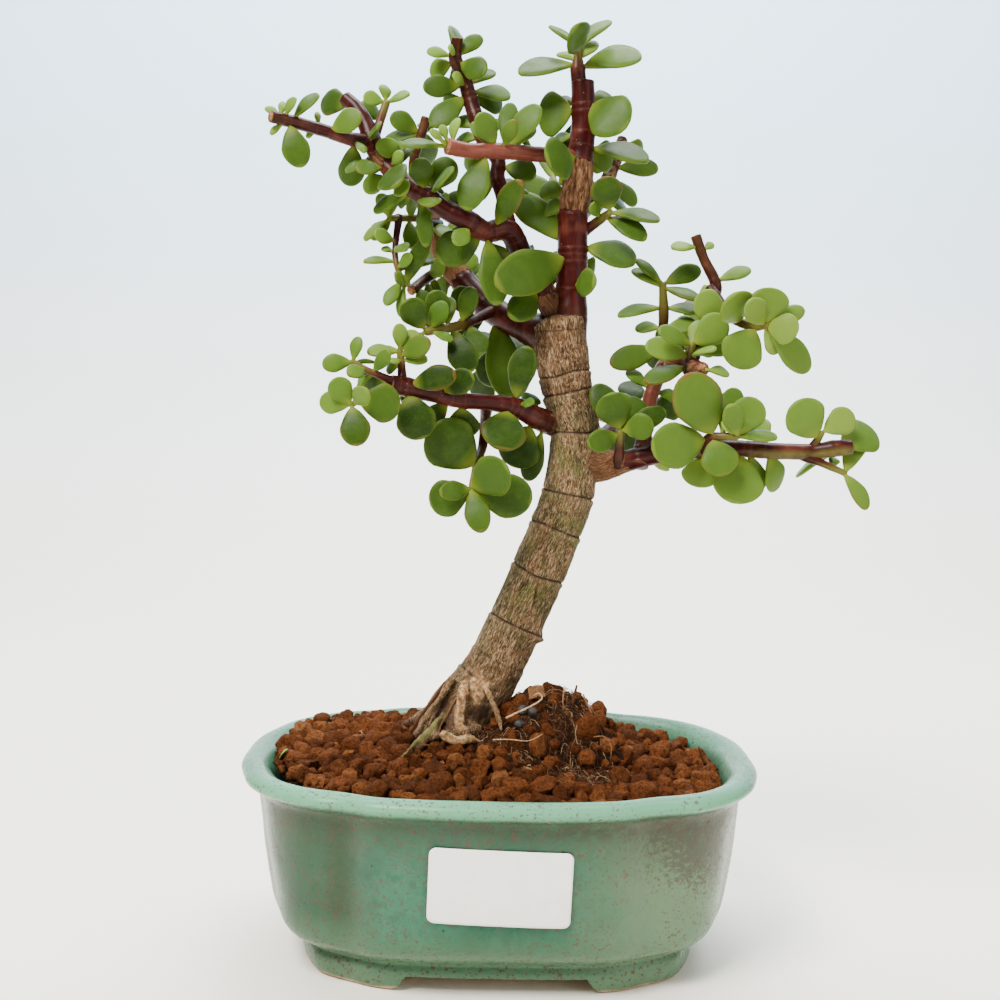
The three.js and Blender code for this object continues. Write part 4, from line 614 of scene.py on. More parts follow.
# Iron speckles in the glaze: cell size, the speck's rim and core, drift size, where drifts begin
SPECKLES = [(1.0, 0.34, 0.24, 1.5, 0.43), (1.9, 0.27, 0.19, 2.6, 0.45), (3.6, 0.2, 0.14, 6, 0.5)]
SPECKLE_DRIFT_EDGE = 0.06


def glaze_speckles(paint):
    ragged = paint.ragged(0.7, 0.5, detail=4, roughness=0.7)
    sorts = [
        paint.times(paint.between(paint.plus(paint.cells(size), ragged), rim, core),
                    paint.patches(drift, start, start + SPECKLE_DRIFT_EDGE, detail=2))
        for size, rim, core, drift, start in SPECKLES
    ]
    drifts = paint.larger(paint.times(paint.patches(15, 0.36, 0.5), 0.85), paint.value("rusty"))
    return paint.times(paint.larger(paint.larger(sorts[0], sorts[1]), sorts[2]), drifts)


def glaze_material():
    paint = Paint("celadon_glaze", IOR=1.31, Specular_IOR_Level=0.36)
    foot = paint.value("foot")
    base = paint.ramp(paint.noise(30, detail=4, roughness=0.6), (0.34, (0.012, 0.073, 0.04)),
                      (0.5, (0.018, 0.097, 0.055)), (0.66, (0.032, 0.122, 0.071)))
    runs = paint.drawn_out(paint.place, (130, 130, 30), detail=5, roughness=0.65)
    base = paint.over(base, (0.04, 0.135, 0.085), paint.between(runs, 0.46, 0.68), 0.35)
    pooled = paint.noise(3.2, detail=6, roughness=0.75)
    base = paint.over(base, (0.009, 0.043, 0.02), paint.between(pooled, 0.52, 0.36), 0.35)
    base = paint.over(base, (0.065, 0.085, 0.045), paint.patches(19, 0.48, 0.62), 0.3)
    # Painted shade: the glaze darkened in the left front valley and down the left end of the body
    base = paint.over(base, (0.026, 0.04, 0.018), paint.value("shade_left"), 0.75)
    # Painted light: the glaze lightened over the right-hand side of the body
    base = paint.over(base, (0.13, 0.19, 0.105), paint.value("lit_right"), 0.72)
    rise = paint.times(paint.height(paint.place), 1 / (POT_TOP * MM))
    # Painted shade darkens the body towards the top, under the lip; painted light lightens it towards the
    # bottom, where it curves in
    base = paint.over(base, (0.032, 0.052, 0.028), paint.between(rise, 0.5, 0.86), 0.5)
    base = paint.over(base, (0.085, 0.165, 0.092), paint.between(rise, 0.42, 0.16), 0.75)
    # The lip: paler where the glaze thins over it, and painted light from above, strongest at the front
    base = paint.over(base, (0.115, 0.33, 0.19), paint.value("lip"), 0.85)
    # Painted shade in a band under the lip, stronger on the right and broken up by the pooled glaze
    shade = paint.times(paint.value("shade_under_lip"), paint.between(pooled, 0.36, 0.56))
    base = paint.over(base, (0.03, 0.034, 0.018), shade, 0.75)
    # Purple-grey mottling where the glaze is thin
    net = paint.minus(paint.noise(1.3, detail=7, roughness=0.8), 0.5)
    mottle = paint.between(paint.plus(paint.times(paint.value("patch"), 0.3), net), 0.19, 0.27)
    base = paint.over(base, (0.05, 0.042, 0.034), mottle, 0.7)
    speck = glaze_speckles(paint)
    base = paint.over(base, (0.088, 0.037, 0.029), speck, 0.85)
    base = paint.mix(paint.between(paint.cells(9), 0.055, 0.035), base, (0.02, 0.015, 0.012))
    clay = paint.ramp(paint.noise(1.5, detail=5), (0.3, (0.34, 0.22, 0.12)), (0.7, (0.58, 0.44, 0.28)))
    paint.set("Base Color", paint.mix(foot, base, clay))
    rough = paint.plus(paint.plus(paint.times(speck, 0.25), 0.2), paint.times(foot, 0.5))
    paint.set("Roughness", paint.plus(rough, paint.times(paint.noise(3), 0.18)))
    ripple = paint.bump(paint.noise(9, detail=2), 0.5, 0.35)
    paint.set("Normal", paint.bump(paint.noise(0.8), 0.06, 0.5, ripple))
    return paint.material


def plain_material(name, tones, pattern, relief, **surface):
    """Two tones over one noise (size, detail) and a relief (size, detail, depth, strength)."""
    paint = Paint(name, **surface)
    paint.set("Base Color", paint.ramp(paint.noise(pattern[0], detail=pattern[1]), *tones))
    size, detail, depth, strength = relief
    paint.set("Normal", paint.bump(paint.noise(size, detail=detail), depth, strength))
    return paint.material


def paper_material():
    tones = (0.3, (0.9, 0.87, 0.84)), (0.7, (0.96, 0.93, 0.9))
    return plain_material("sticker_paper", tones, (4, 4), (0.25, 2, 0.01, 0.4), Roughness=0.38)


def screen_material():
    tones = (0.3, (0.012, 0.013, 0.014)), (0.7, (0.03, 0.03, 0.032))
    return plain_material("screen_plastic", tones, (2, 3), (0.5, 3, 0.05, 0.5), Roughness=0.55)


def dirt_material():
    tones = (0.3, (0.012, 0.005, 0.002)), (0.7, (0.05, 0.017, 0.005))
    return plain_material("soil_between", tones, (1.2, 6), (0.8, 5, 0.6, 0.9),
                          Roughness=1.0, Specular_IOR_Level=0.1)


def pellet_material():
    tones = (0.35, (0.016, 0.014, 0.012)), (0.65, (0.055, 0.047, 0.04))
    return plain_material("feed_pellets", tones, (0.9, 4), (0.5, 4, 0.2, 0.8),
                          Roughness=0.55, Specular_IOR_Level=0.2)


def granule_material():
    paint = Paint("clay_granules", Roughness=0.92, Specular_IOR_Level=0.06)
    tone = paint.ramp(paint.value("tint"), (0.0, (0.06, 0.0175, 0.0045)), (0.4, (0.108, 0.032, 0.0085)),
                      (0.8, (0.158, 0.048, 0.013)), (0.97, (0.2, 0.07, 0.021)), (1.0, (0.24, 0.1, 0.036)))
    grain = paint.noise(1.1, detail=7, roughness=0.75)
    dark = paint.mix(0.7, tone, (0.022, 0.006, 0.002))
    tone = paint.mix(paint.between(grain, 0.36, 0.62), dark, tone)
    tone = paint.over(tone, (0.21, 0.078, 0.025), paint.patches(0.5, 0.56, 0.7, detail=4), 0.4)
    # Painted shade in the small pits of each lump, which the relief also sinks
    shaded_pits = paint.between(paint.cells(1.0), 0.32, 0.1)
    paint.set("Base Color", paint.over(tone, (0.016, 0.005, 0.002), shaded_pits, 0.6))
    rough = paint.bump(paint.noise(0.35), 0.35, 0.8, paint.bump(grain, 1.3))
    paint.set("Normal", paint.bump(paint.minus(1.0, shaded_pits), 0.45, 0.8, rough))
    return paint.material


def root_mat_material():
    paint = Paint("root_mat", Roughness=1.0, Specular_IOR_Level=0.1)
    fibres = paint.drawn_out(paint.place, (700, 700, 1900), 0.5, detail=5, roughness=0.7, distortion=1.6)
    paint.set("Base Color", paint.ramp(fibres, (0.36, (0.006, 0.0024, 0.0012)),
                                       (0.54, (0.024, 0.009, 0.004)), (0.72, (0.1, 0.04, 0.017))))
    paint.set("Normal", paint.bump(fibres, 0.6))
    return paint.material


def fine_root_material():
    paint = Paint("fine_roots", Roughness=0.8, Specular_IOR_Level=0.04)
    colour = paint.ramp(paint.value("tint"), (0.0, (0.016, 0.005, 0.002)), (0.45, (0.07, 0.025, 0.01)),
                        (0.8, (0.24, 0.115, 0.05)), (1.0, (0.58, 0.4, 0.23)))
    dusty = paint.mix(0.5, colour, (0.05, 0.03, 0.02))
    paint.set("Base Color", paint.mix(paint.patches(0.8, 0.35, 0.65), colour, dusty))
    paint.set("Normal", paint.bump(paint.noise(0.3), 0.05, 0.6))
    return paint.material


def bark_material():
    paint = Paint("bark", Roughness=0.85, Specular_IOR_Level=0.2)
    along = paint.vector("bark")
    fibre = paint.drawn_out(along, (3.0, 3.0, 0.62), detail=5, roughness=0.6, distortion=0.9)
    plates = paint.drawn_out(along, (0.34, 0.34, 0.16), detail=4, roughness=0.6)
    fine = paint.drawn_out(along, (7.0, 7.0, 2.0), roughness=0.7)
    tone = paint.plus(fibre, paint.times(paint.minus(fine, 0.5), 0.35))
    tone = paint.plus(tone, paint.times(paint.minus(plates, 0.5), 0.3))
    cool = paint.ramp(tone, (0.33, (0.012, 0.007, 0.0025)), (0.43, (0.056, 0.036, 0.013)),
                      (0.54, (0.138, 0.106, 0.044)), (0.68, (0.38, 0.3, 0.17)))
    warm = paint.ramp(tone, (0.33, (0.014, 0.005, 0.002)), (0.43, (0.066, 0.028, 0.01)),
                      (0.54, (0.17, 0.094, 0.042)), (0.68, (0.46, 0.32, 0.19)))
    rust = paint.plus(paint.between(plates, 0.42, 0.6), paint.value("red"), clamp=True)
    colour = paint.mix(rust, cool, warm)
    green = paint.times(paint.value("green"), paint.patches(14, 0.4, 0.56))
    colour = paint.over(colour, paint.mix(0.6, colour, (0.115, 0.12, 0.02)), green, 0.8)
    colour = paint.over(colour, (0.24, 0.1, 0.05), paint.patches(4.5, 0.62, 0.72), 0.4)
    colour = paint.over(colour, (0.022, 0.01, 0.005), paint.value("groove"), 0.8)
    # A crisp dark line in the middle of every ring scar
    offset = paint.math("ABSOLUTE", paint.plus(paint.value("scar_offset"), paint.ragged(2.2, 0.5)))
    line = paint.times(paint.between(offset, 0.36, 0.12), paint.patches(3.2, 0.28, 0.52))
    colour = paint.mix(paint.times(line, paint.value("scar")), colour, (0.02, 0.01, 0.006))
    colour = paint.over(colour, (0.36, 0.25, 0.13), paint.value("ridge"), 0.15)
    bare = paint.ramp(paint.noise(1.3, detail=6, roughness=0.65), (0.36, (0.13, 0.05, 0.017)),
                      (0.5, (0.34, 0.18, 0.075)), (0.64, (0.68, 0.46, 0.25)))
    moss = paint.ramp(paint.noise(2.2, detail=4), (0.35, (0.035, 0.04, 0.008)), (0.65, (0.2, 0.2, 0.055)))
    colour = paint.mix(paint.value("pale"), colour, paint.mix(paint.value("mossy"), bare, moss))
    # Painted shade in the hollows between the roots, streaked like hairs
    hairs = paint.noise(0.9, detail=6, roughness=0.7, distortion=1.2)
    shaded_hairs = paint.ramp(hairs, (0.4, (0.012, 0.005, 0.003)), (0.66, (0.11, 0.05, 0.024)))
    colour = paint.over(colour, shaded_hairs, paint.value("hollow_shade"), 0.85)
    dust = paint.times(paint.value("soil"), paint.between(plates, 0.3, 0.52))
    paint.set("Base Color", paint.mix(dust, colour, (0.04, 0.014, 0.006)))
    paint.set("Normal", paint.bump(plates, 0.8, 0.5, paint.bump(tone, 0.8)))
    return paint.material


def stem_material():
    paint = Paint("young_stems", IOR=1.36, Specular_IOR_Level=0.22)
    along = paint.vector("bark")
    streak = paint.drawn_out(along, (0.9, 0.9, 0.14), detail=5, roughness=0.6)
    cloud = paint.noise(9)
    maroon = paint.ramp(streak, (0.3, (0.014, 0.0013, 0.0009)), (0.55, (0.03, 0.0027, 0.0019)),
                        (0.8, (0.066, 0.009, 0.006)))
    rosy = paint.ramp(streak, (0.3, (0.1, 0.022, 0.015)), (0.7, (0.175, 0.052, 0.032)))
    flush = paint.larger(paint.times(paint.between(cloud, 0.5, 0.68), 0.4), paint.value("rosy"))
    skin = paint.mix(flush, maroon, rosy)
    olive = paint.times(paint.value("olive"), paint.between(cloud, 0.32, 0.6))
    skin = paint.mix(olive, skin, (0.1, 0.085, 0.018))
    fibre = paint.drawn_out(along, (1.7, 1.7, 0.26), detail=6, roughness=0.7, distortion=0.5)
    wood = paint.ramp(fibre, (0.34, (0.02, 0.008, 0.004)), (0.5, (0.12, 0.052, 0.021)),
                      (0.68, (0.38, 0.21, 0.1)))
    smooth = paint.ramp(fibre, (0.3, (0.075, 0.026, 0.01)), (0.7, (0.22, 0.1, 0.045)))
    wood = paint.mix(paint.value("tan"), wood, smooth)
    edge = paint.plus(paint.value("wood"), paint.ragged(2.4, 1.5, detail=5, roughness=0.6))
    woody = paint.between(edge, 0.44, 0.56)
    colour = paint.mix(woody, skin, wood)
    colour = paint.over(colour, (0.13, 0.13, 0.02), paint.value("fresh"), 0.75)
    colour = paint.over(colour, paint.mix(0.5, colour, (0.2, 0.085, 0.045)), paint.value("ring"), 0.2)
    colour = paint.over(colour, (0.4, 0.22, 0.11), paint.between(paint.cells(2.3), 0.08, 0.04), 0.5)
    # Painted shade at the root of each stem, where it meets the wood that carries it
    colour = paint.over(colour, (0.03, 0.011, 0.006), paint.value("dark"), 0.5)
    scar = paint.ramp(paint.noise(0.7, detail=4), (0.35, (0.16, 0.05, 0.016)), (0.65, (0.45, 0.22, 0.1)))
    paint.set("Base Color", paint.mix(paint.value("cut"), colour, scar))
    dull = paint.larger(woody, paint.value("cut"))
    paint.set("Roughness", paint.plus(paint.times(dull, 0.4), 0.36))
    rough = paint.bump(paint.times(fibre, woody), 0.8, 0.9)
    paint.set("Normal", paint.bump(paint.noise(0.9), 0.06, 0.4, rough))
    return paint.material


def leaf_material():
    paint = Paint("jade_leaf", IOR=1.31, Specular_IOR_Level=0.15, Subsurface_Weight=0.1,
                  Subsurface_Scale=0.0008, Subsurface_Radius=(0.4, 1.0, 0.12))
    tint, rim = paint.value("tint"), paint.value("rim")
    mature = paint.ramp(tint, (0.0, (0.0115, 0.027, 0.003)), (0.5, (0.041, 0.083, 0.009)),
                        (1.0, (0.112, 0.188, 0.025)))
    young = paint.ramp(tint, (0.0, (0.048, 0.103, 0.01)), (0.5, (0.108, 0.188, 0.023)),
                       (1.0, (0.22, 0.3, 0.052)))
    colour = paint.mix(paint.value("young"), mature, young)
    blotch = paint.patches(3.4, 0.42, 0.64, detail=5, roughness=0.6)
    colour = paint.over(colour, paint.mix(0.35, colour, (0.13, 0.2, 0.024)), blotch, 0.17)
    colour = paint.over(colour, (0.06, 0.11, 0.014), paint.value("under"), 0.3)
    colour = paint.over(colour, (0.2, 0.24, 0.025), paint.value("base"), 0.5)
    colour = paint.over(colour, (0.24, 0.32, 0.07), paint.between(paint.cells(0.6), 0.22, 0.1), 0.12)
    colour = paint.over(colour, paint.mix(0.6, colour, (0.27, 0.35, 0.04)), rim, 0.35)
    colour = paint.mix(paint.times(rim, paint.value("blush")), colour, (0.11, 0.022, 0.01))
    paint.set("Base Color", colour)
    gloss = paint.plus(paint.times(paint.value("under"), 0.18), paint.times(paint.noise(2.5), 0.24))
    paint.set("Roughness", paint.plus(gloss, 0.28))
    swell = paint.bump(paint.noise(3.2, detail=2), 0.25, 0.3)
    paint.set("Normal", paint.bump(paint.noise(0.3), 0.02, 0.5, swell))
    return paint.material


# ------------------------------------------------------------------ pot

POT_SIDES = 360
POT_TOP = 59
ARCH_ROUND = 5.5  # length over which a foot's end curves up to the arch
ARCH_Z = 4.8
BODY_CREASE = 1.9  # how much deeper the valleys are on the body than on the lip
FOOT_SQUARER = 0.7  # how much squarer the plan is down at the feet
END_VALLEY, END_CREASE = 0.45, 0.2  # the valleys at the two ends beside those in front
CUSP_ROUND, CUSP_WIDTH = 4.5, 5.0
CURVE_STEPS = 3  # rings to each span of a profile
# (height, half width) up the outside, with the moulding over the feet and the soft lip
FOOT_PROFILE = [
    (0.0, 55.0), (0.5, 56.1), (2.0, 57.0), (4.4, 57.5), (6.4, 57.3), (7.7, 56.7), (8.5, 56.9),
]
BODY_PROFILE = [
    (9.6, 59.0), (11.6, 62.2), (14.2, 64.8), (18, 66.7), (24, 68.2), (32, 69.3), (40, 70.2),
    (46, 70.9), (50.6, 71.6), (52.8, 72.8), (54.2, 74.8), (55.5, 75.9), (56.8, 75.7), (57.9, 74.5),
    (58.4, 72.8), (58.1, 71), (56.9, 69.3), (55.2, 68.1), (50, 66), (38, 62.6), (26, 59.6),
    (17, 57.3), (13.6, 55.4), (12.2, 52.4), (12, 48),
]
WALL_SPANS = 9  # spans of the body's profile below the lip
RINGS_TO_LIP_TOP = 60  # from the ground up the outside
RINGS_DOWN_INSIDE = 36  # from the lip's outer edge to the floor
FAR_OFF = 99  # more than any length on the pot


def cusp(offset):
    return np.exp(-(np.hypot(offset, CUSP_ROUND) - CUSP_ROUND) / CUSP_WIDTH)


def bell(value):
    return np.exp(-(value ** 2))


def valley_shrink(x, y, extra=0.0):
    """How much a point of the plan is drawn in by the eight upright valleys."""
    long, short = np.abs(x) - VALLEY_X, np.abs(y) - VALLEY_Y
    front, end = np.abs(y) > VALLEY_Y, np.abs(x) > VALLEY_X
    soft = np.maximum(np.where(front, bell(long / VALLEY_WIDTH), 0),
                      np.where(end, END_VALLEY * bell(short / VALLEY_WIDTH), 0))
    crease = np.maximum(np.where(front, cusp(long), 0), np.where(end, END_CREASE * cusp(short), 0))
    return 1 - (VALLEY_DEPTH * soft + extra * crease) / np.maximum(1, np.hypot(x, y))


def pot_plan(half_width, angles, crease=0.0, squareness=POT_SQUARENESS):
    half_depth = half_width - POT_DEPTH_STEP
    cos, sin = np.cos(angles), np.sin(angles)
    x = half_width * np.sign(cos) * np.abs(cos) ** (2 / squareness)
    y = half_depth * np.sign(sin) * np.abs(sin) ** (2 / squareness)
    shrink = valley_shrink(x, y, crease)
    return x * shrink, y * shrink


def inside_half_width(z):
    heights, widths = zip(*reversed(POT_INSIDE))
    return float(np.interp(z, heights, widths))


def body_half_width(z):
    """Half width of the pot's outside between its feet and its lip."""
    curve = curve_points(BODY_PROFILE[:WALL_SPANS + 1], CURVE_STEPS)
    return float(np.interp(z, curve[:, 0], curve[:, 1]))


def curve_points(points, steps):
    """Points on the same Catmull-Rom curve as three.js draws, steps to each span."""
    points = np.asarray(points, float)
    ends = np.vstack([2 * points[0] - points[1], points, 2 * points[-1] - points[-2]])
    shares = np.linspace(0, len(points) - 1, steps * (len(points) - 1) + 1)
    return np.array([span_point(ends, share) for share in shares])


def span_point(ends, share):
    index = min(int(share), len(ends) - 4)
    t = share - index
    before, start, stop, after = ends[index:index + 4]
    slope_in, slope_out = 0.5 * (stop - before), 0.5 * (after - start)
    return (start + slope_in * t + (3 * (stop - start) - 2 * slope_in - slope_out) * t * t
            + (2 * (start - stop) + slope_in + slope_out) * t ** 3)


def foot_height(x, y):
    """How high the foot ring stands clear of the ground: it is cut into four corner feet."""
    past_front = np.maximum(0, np.abs(x) - FOOT_ARCH_HALF_X) + FAR_OFF * (np.abs(y) < VALLEY_Y)
    past_end = np.maximum(0, np.abs(y) - FOOT_ARCH_HALF_Y) + FAR_OFF * (np.abs(x) < VALLEY_X)
    under_arch = np.clip(1 - np.minimum(past_front, past_end) / ARCH_ROUND, 0, 1)
    return ARCH_Z * (1 - np.sqrt(1 - under_arch ** 2))


def pot_profile():
    """(height, half width) from under the floor, over the lip and down the inside to the floor."""
    inner = FOOT_PROFILE[0][1] - FOOT_RING_WIDTH
    under = [
        (FOOT_RECESS_Z, 2.0), (FOOT_RECESS_Z, inner * 0.5), (FOOT_RECESS_Z, inner - 0.8),
        (FOOT_RECESS_Z - 0.8, inner), (1.0, inner), (0.25, inner + 0.4), (0, inner + 1.2), (0, inner + 4),
    ]
    foot, body = curve_points(FOOT_PROFILE, CURVE_STEPS), curve_points(BODY_PROFILE, CURVE_STEPS)
    outside = foot.tolist() + body.tolist()
    return under, outside, [(FLOOR_Z, 25), (FLOOR_Z, 2)]


def make_pot(material):
    angles = np.linspace(0, 2 * np.pi, POT_SIDES, endpoint=False)
    under, outside, floor = pot_profile()
    rings = []
    for number, (z, half_width) in enumerate(under + outside + floor):
        z = max(z, 0.0)
        if half_width < POT_DEPTH_STEP + 1:
            x, y = half_width * np.cos(angles), half_width * np.sin(angles)
        else:
            is_outside = number < len(under) + RINGS_TO_LIP_TOP
            crease = BODY_CREASE * float(smoothstep(9, 16, z) * smoothstep(56, 47, z)) * is_outside
            squareness = POT_SQUARENESS + float(smoothstep(24, 7, z)) * is_outside * FOOT_SQUARER
            x, y = pot_plan(half_width, angles, crease, squareness)
        low = foot_height(x, y) if z < ARCH_Z else 0.0
        rings.append(np.column_stack([x, y, np.maximum(z, low) * np.ones_like(x)]))
    flat = np.vstack(rings)
    level = np.repeat(np.arange(len(rings)), POT_SIDES)
    outer = level >= len(under)
    wave = 0.4 * rumple(flat, 30, 2) + 0.12 * rumple(flat, 9, 2)
    away = np.hypot(flat[:, 0], flat[:, 1])
    flat[:, :2] *= 1 + (np.where(outer & (flat[:, 2] > 5), wave, 0) / np.maximum(away, 1))[:, None]
    outward = outer & (level < len(under) + len(outside) - RINGS_DOWN_INSIDE)
    marks = pot_marks(flat, outward, level < len(under))
    pot = mesh_object("pot_body", flat, loft_faces(len(rings), POT_SIDES), material, marks)
    for x in (-DRAIN_X, DRAIN_X):
        bore = drain_cutter(x)
        cut = pot.modifiers.new("drain", "BOOLEAN")
        cut.object = bore
        cut.operation = "DIFFERENCE"
        cut.solver = "EXACT"
        apply_modifiers(pot)
        bpy.data.objects.remove(bore)
    return finished(pot, "glaze", "pot")


def pot_marks(points, outward, underneath):
    """Where the glaze is pale over the lip with painted light on it, where painted shade falls on the left
    and under the lip, where painted light falls on the right, where it is patchy or rusty, and where the clay
    is bare.
    """
    x, y, z = points.T
    blur = 0.8 * rumple(points, 8, 3)
    valley = np.where(np.abs(y) > VALLEY_Y, bell((np.abs(x) - VALLEY_X + blur) / VALLEY_WIDTH), 0)
    left = 0.8 * smoothstep(-38, -52, x + 3 * blur)
    bare = np.where(outward, smoothstep(1.5, 0.5, z + 0.6 * blur), 0)
    near_lip = smoothstep(54, 50, z)
    patchy = smoothstep(24, 54, x + 5 * blur + 0.7 * (z - 40)) * smoothstep(12, 40, z)
    rusty = np.maximum(smoothstep(20, 10, z + 4 * blur), smoothstep(40, 48, z) * smoothstep(57, 54, z))
    shaded = smoothstep(45, 50.5, z) * smoothstep(54, 52.5, z)
    return {
        # pale glaze and painted light over the lip, strongest at the front
        "lip": smoothstep(52.8, 55.2, z + 0.6 * blur) * (0.4 + 0.6 * smoothstep(-24, -46, y)),
        # painted shade on the left of the body, painted light on its right
        "shade_left": outward * np.maximum(valley * smoothstep(10, -10, x), left) * near_lip,
        "lit_right": outward * smoothstep(13, 46, x + 3 * blur) * near_lip,
        "foot": np.where(underneath, 1.0, bare),
        "shade_under_lip": outward * shaded * (0.45 + 0.55 * smoothstep(-30, 30, x)),
        "patch": outward * patchy * smoothstep(53, 51, z) * (y < 20),
        "rusty": outward * rusty,
    }


def drain_cutter(x, sides=48):
    angles = np.linspace(0, 2 * np.pi, sides, endpoint=False)
    circle = np.column_stack([x + DRAIN_RADIUS * np.cos(angles), DRAIN_RADIUS * np.sin(angles)])
    rings = [np.column_stack([circle, np.full(sides, z)]) for z in (-5.0, 20.0)]
    return mesh_object("drain_cutter", np.vstack(rings), loft_faces(2, sides), None)


# ------------------------------------------------------------------ label

LABEL_GRID = (48, 28)
LABEL_GAP, LABEL_PAPER = 0.12, 0.18
FRONT_ARC, FRONT_STEPS = 0.9, 181  # half angle of the pot's front, and points along it
FRONT_SWELL = 0.3  # how far the glaze may stand out over the plan


def make_label(material):
    columns, rows = LABEL_GRID
    half_u, half_v = LABEL_WIDTH / 2, LABEL_HEIGHT / 2
    grid = []
    for row in range(rows + 1):
        for column in range(columns + 1):
            u, v = (2 * column / columns - 1) * half_u, (2 * row / rows - 1) * half_v
            over_u, over_v = abs(u) - (half_u - LABEL_CORNER), abs(v) - (half_v - LABEL_CORNER)
            if over_u > 0 and over_v > 0:
                pull = math.hypot(over_u, over_v) / max(over_u, over_v)
                u -= math.copysign(over_u * (1 - 1 / pull), u)
                v -= math.copysign(over_v * (1 - 1 / pull), v)
            grid.append((u, v))
    u, v = np.array(grid).T
    cos, sin = math.cos(LABEL_TILT), math.sin(LABEL_TILT)
    x = LABEL_CENTRE[0] + cos * u - sin * v
    z = LABEL_CENTRE[1] + sin * u + cos * v
    back = np.array([front_depth(*place) for place in zip(x, z)]) + LABEL_GAP
    points = np.vstack([np.column_stack([x, -(back + LABEL_PAPER), z]), np.column_stack([x, -back, z])])
    count = len(grid)
    faces = grid_faces(columns, rows)
    faces += [(count + a, count + d, count + c, count + b) for a, b, c, d in faces]
    edge = grid_edge(columns, rows)
    faces += [(b, a, count + a, count + b) for a, b in zip(edge, edge[1:] + edge[:1])]
    return finished(mesh_object("sticker", points, faces, material), "sticker", "label")


def front_depth(x, z):
    """How far the pot's front stands out at a place on it."""
    angles = np.linspace(np.pi / 2 - FRONT_ARC, np.pi / 2 + FRONT_ARC, FRONT_STEPS)
    plan_x, plan_y = pot_plan(body_half_width(z), angles, BODY_CREASE)
    return float(np.interp(x, plan_x[::-1], plan_y[::-1])) + FRONT_SWELL


# ------------------------------------------------------------------ the tree's rule, as in the CAD

SAMPLES_PER_SPAN = 10
OWN_STEM = (2.5, 1)  # a leaf may touch its own stem this near its root: radii and millimetres
SIDEWAYS = 0.15  # below this rise, a blade's upper side is taken as facing left or right


def stem_samples(stem):
    points = curve_points([row[:3] for row in stem], SAMPLES_PER_SPAN)
    spans = np.linspace(0, len(stem) - 1, len(points))
    return points, np.interp(spans, np.arange(len(stem)), [row[3] for row in stem])


def blade_outline(share):
    share = np.asarray(share, float)
    past = np.clip((share - BLADE_SHOULDER) / (1 - BLADE_SHOULDER), 0, 1)
    inside = np.clip(share, 0, 1)
    full = np.minimum(1, BLADE_FULLNESS * inside ** BLADE_TAPER) * np.sqrt(1 - past ** 2)
    return np.where((share <= 0) | (share >= 1), 0, full)


def half_width_at(leaf, share):
    free = np.minimum(0.97, (share - leaf["sunk"]) / (1 - leaf["sunk"]))
    return leaf["width"] / 2 * blade_outline(free)


def grow_leaf(shoot, entry):
    x, z, dx, dy, dz, width, face = entry
    centres, radii = shoot["samples"]
    nearest = int(np.argmin(np.hypot(centres[:, 0] - x, centres[:, 2] - z)))
    root = centres[nearest]
    tip = np.array([x + dx, root[1] + dy, z + dz])
    length = np.linalg.norm(tip - root)
    along = (tip - root) / length
    front = np.array([0.0, -1.0, 0.0])
    level = unit(front - front.dot(along) * along)
    upward = np.cross(along, level)
    if upward[2] < 0 or (abs(upward[2]) < SIDEWAYS and upward[0] < 0):
        upward = -upward
    turn = math.radians(face)
    return {
        "shoot": shoot["name"], "node": shoot["node"], "root": root, "sunk": radii[nearest] / length,
        "along": along, "normal": math.cos(turn) * level + math.sin(turn) * upward,
        "length": length, "width": width, "thickness": LEAF_THICKNESS + LEAF_FLESH * length,
    }


def turned(vector, axis, degrees):
    angle = math.radians(degrees)
    return (vector * math.cos(angle) + np.cross(axis, vector) * math.sin(angle)
            + axis * axis.dot(vector) * (1 - math.cos(angle)))


def swung(leaf, swing):
    sideways, upward = swing
    along = turned(leaf["along"], leaf["normal"], sideways)
    across = np.cross(leaf["normal"], along)
    normal = turned(leaf["normal"], across, upward)
    return {**leaf, "along": turned(along, across, upward), "normal": normal}


def blade_points(leaf):
    """A few points over the blade, to tell whether it touches anything."""
    across = np.cross(leaf["normal"], leaf["along"])
    shares = np.repeat([0.3, 0.45, 0.6, 0.75, 0.88, 1], 5)
    sides = np.tile([-1, -0.5, 0, 0.5, 1], 6)
    half = half_width_at(leaf, shares)
    return leaf["root"] + np.outer(shares * leaf["length"], leaf["along"]) + np.outer(sides * half, across)


def inside_blade(points, leaf, air):
    offset = points - leaf["root"]
    share = offset @ leaf["along"] / leaf["length"]
    across = np.cross(leaf["normal"], leaf["along"])
    near = (share >= 0.1) & (share <= 1 + air / leaf["length"]) & (np.abs(offset @ leaf["normal"]) <= air)
    return bool(np.any(near & (np.abs(offset @ across) < half_width_at(leaf, share) + LEAF_AIR)))


def touches(leaf, placed, stems):
    points = blade_points(leaf)
    centres, radii, names = stems
    away = np.linalg.norm(points[:, None] - centres[None], axis=2)
    close = away < radii + leaf["thickness"] / 2 + LEAF_AIR
    own = np.where(names == leaf["shoot"], OWN_STEM[0] * radii + OWN_STEM[1], 0)
    from_root = np.linalg.norm(points - leaf["root"], axis=1)
    if np.any(close & (from_root[:, None] >= own[None])):
        return True
    for other in placed:
        if np.linalg.norm(other["root"] - leaf["root"]) < other["length"] + leaf["length"]:
            flesh = (other["thickness"] + leaf["thickness"]) / 2
            air = LEAF_PACKING * flesh if other["node"] == leaf["node"] else flesh + LEAF_AIR
            if inside_blade(points, other, air) or inside_blade(other["points"], leaf, air):
                return True
    return False


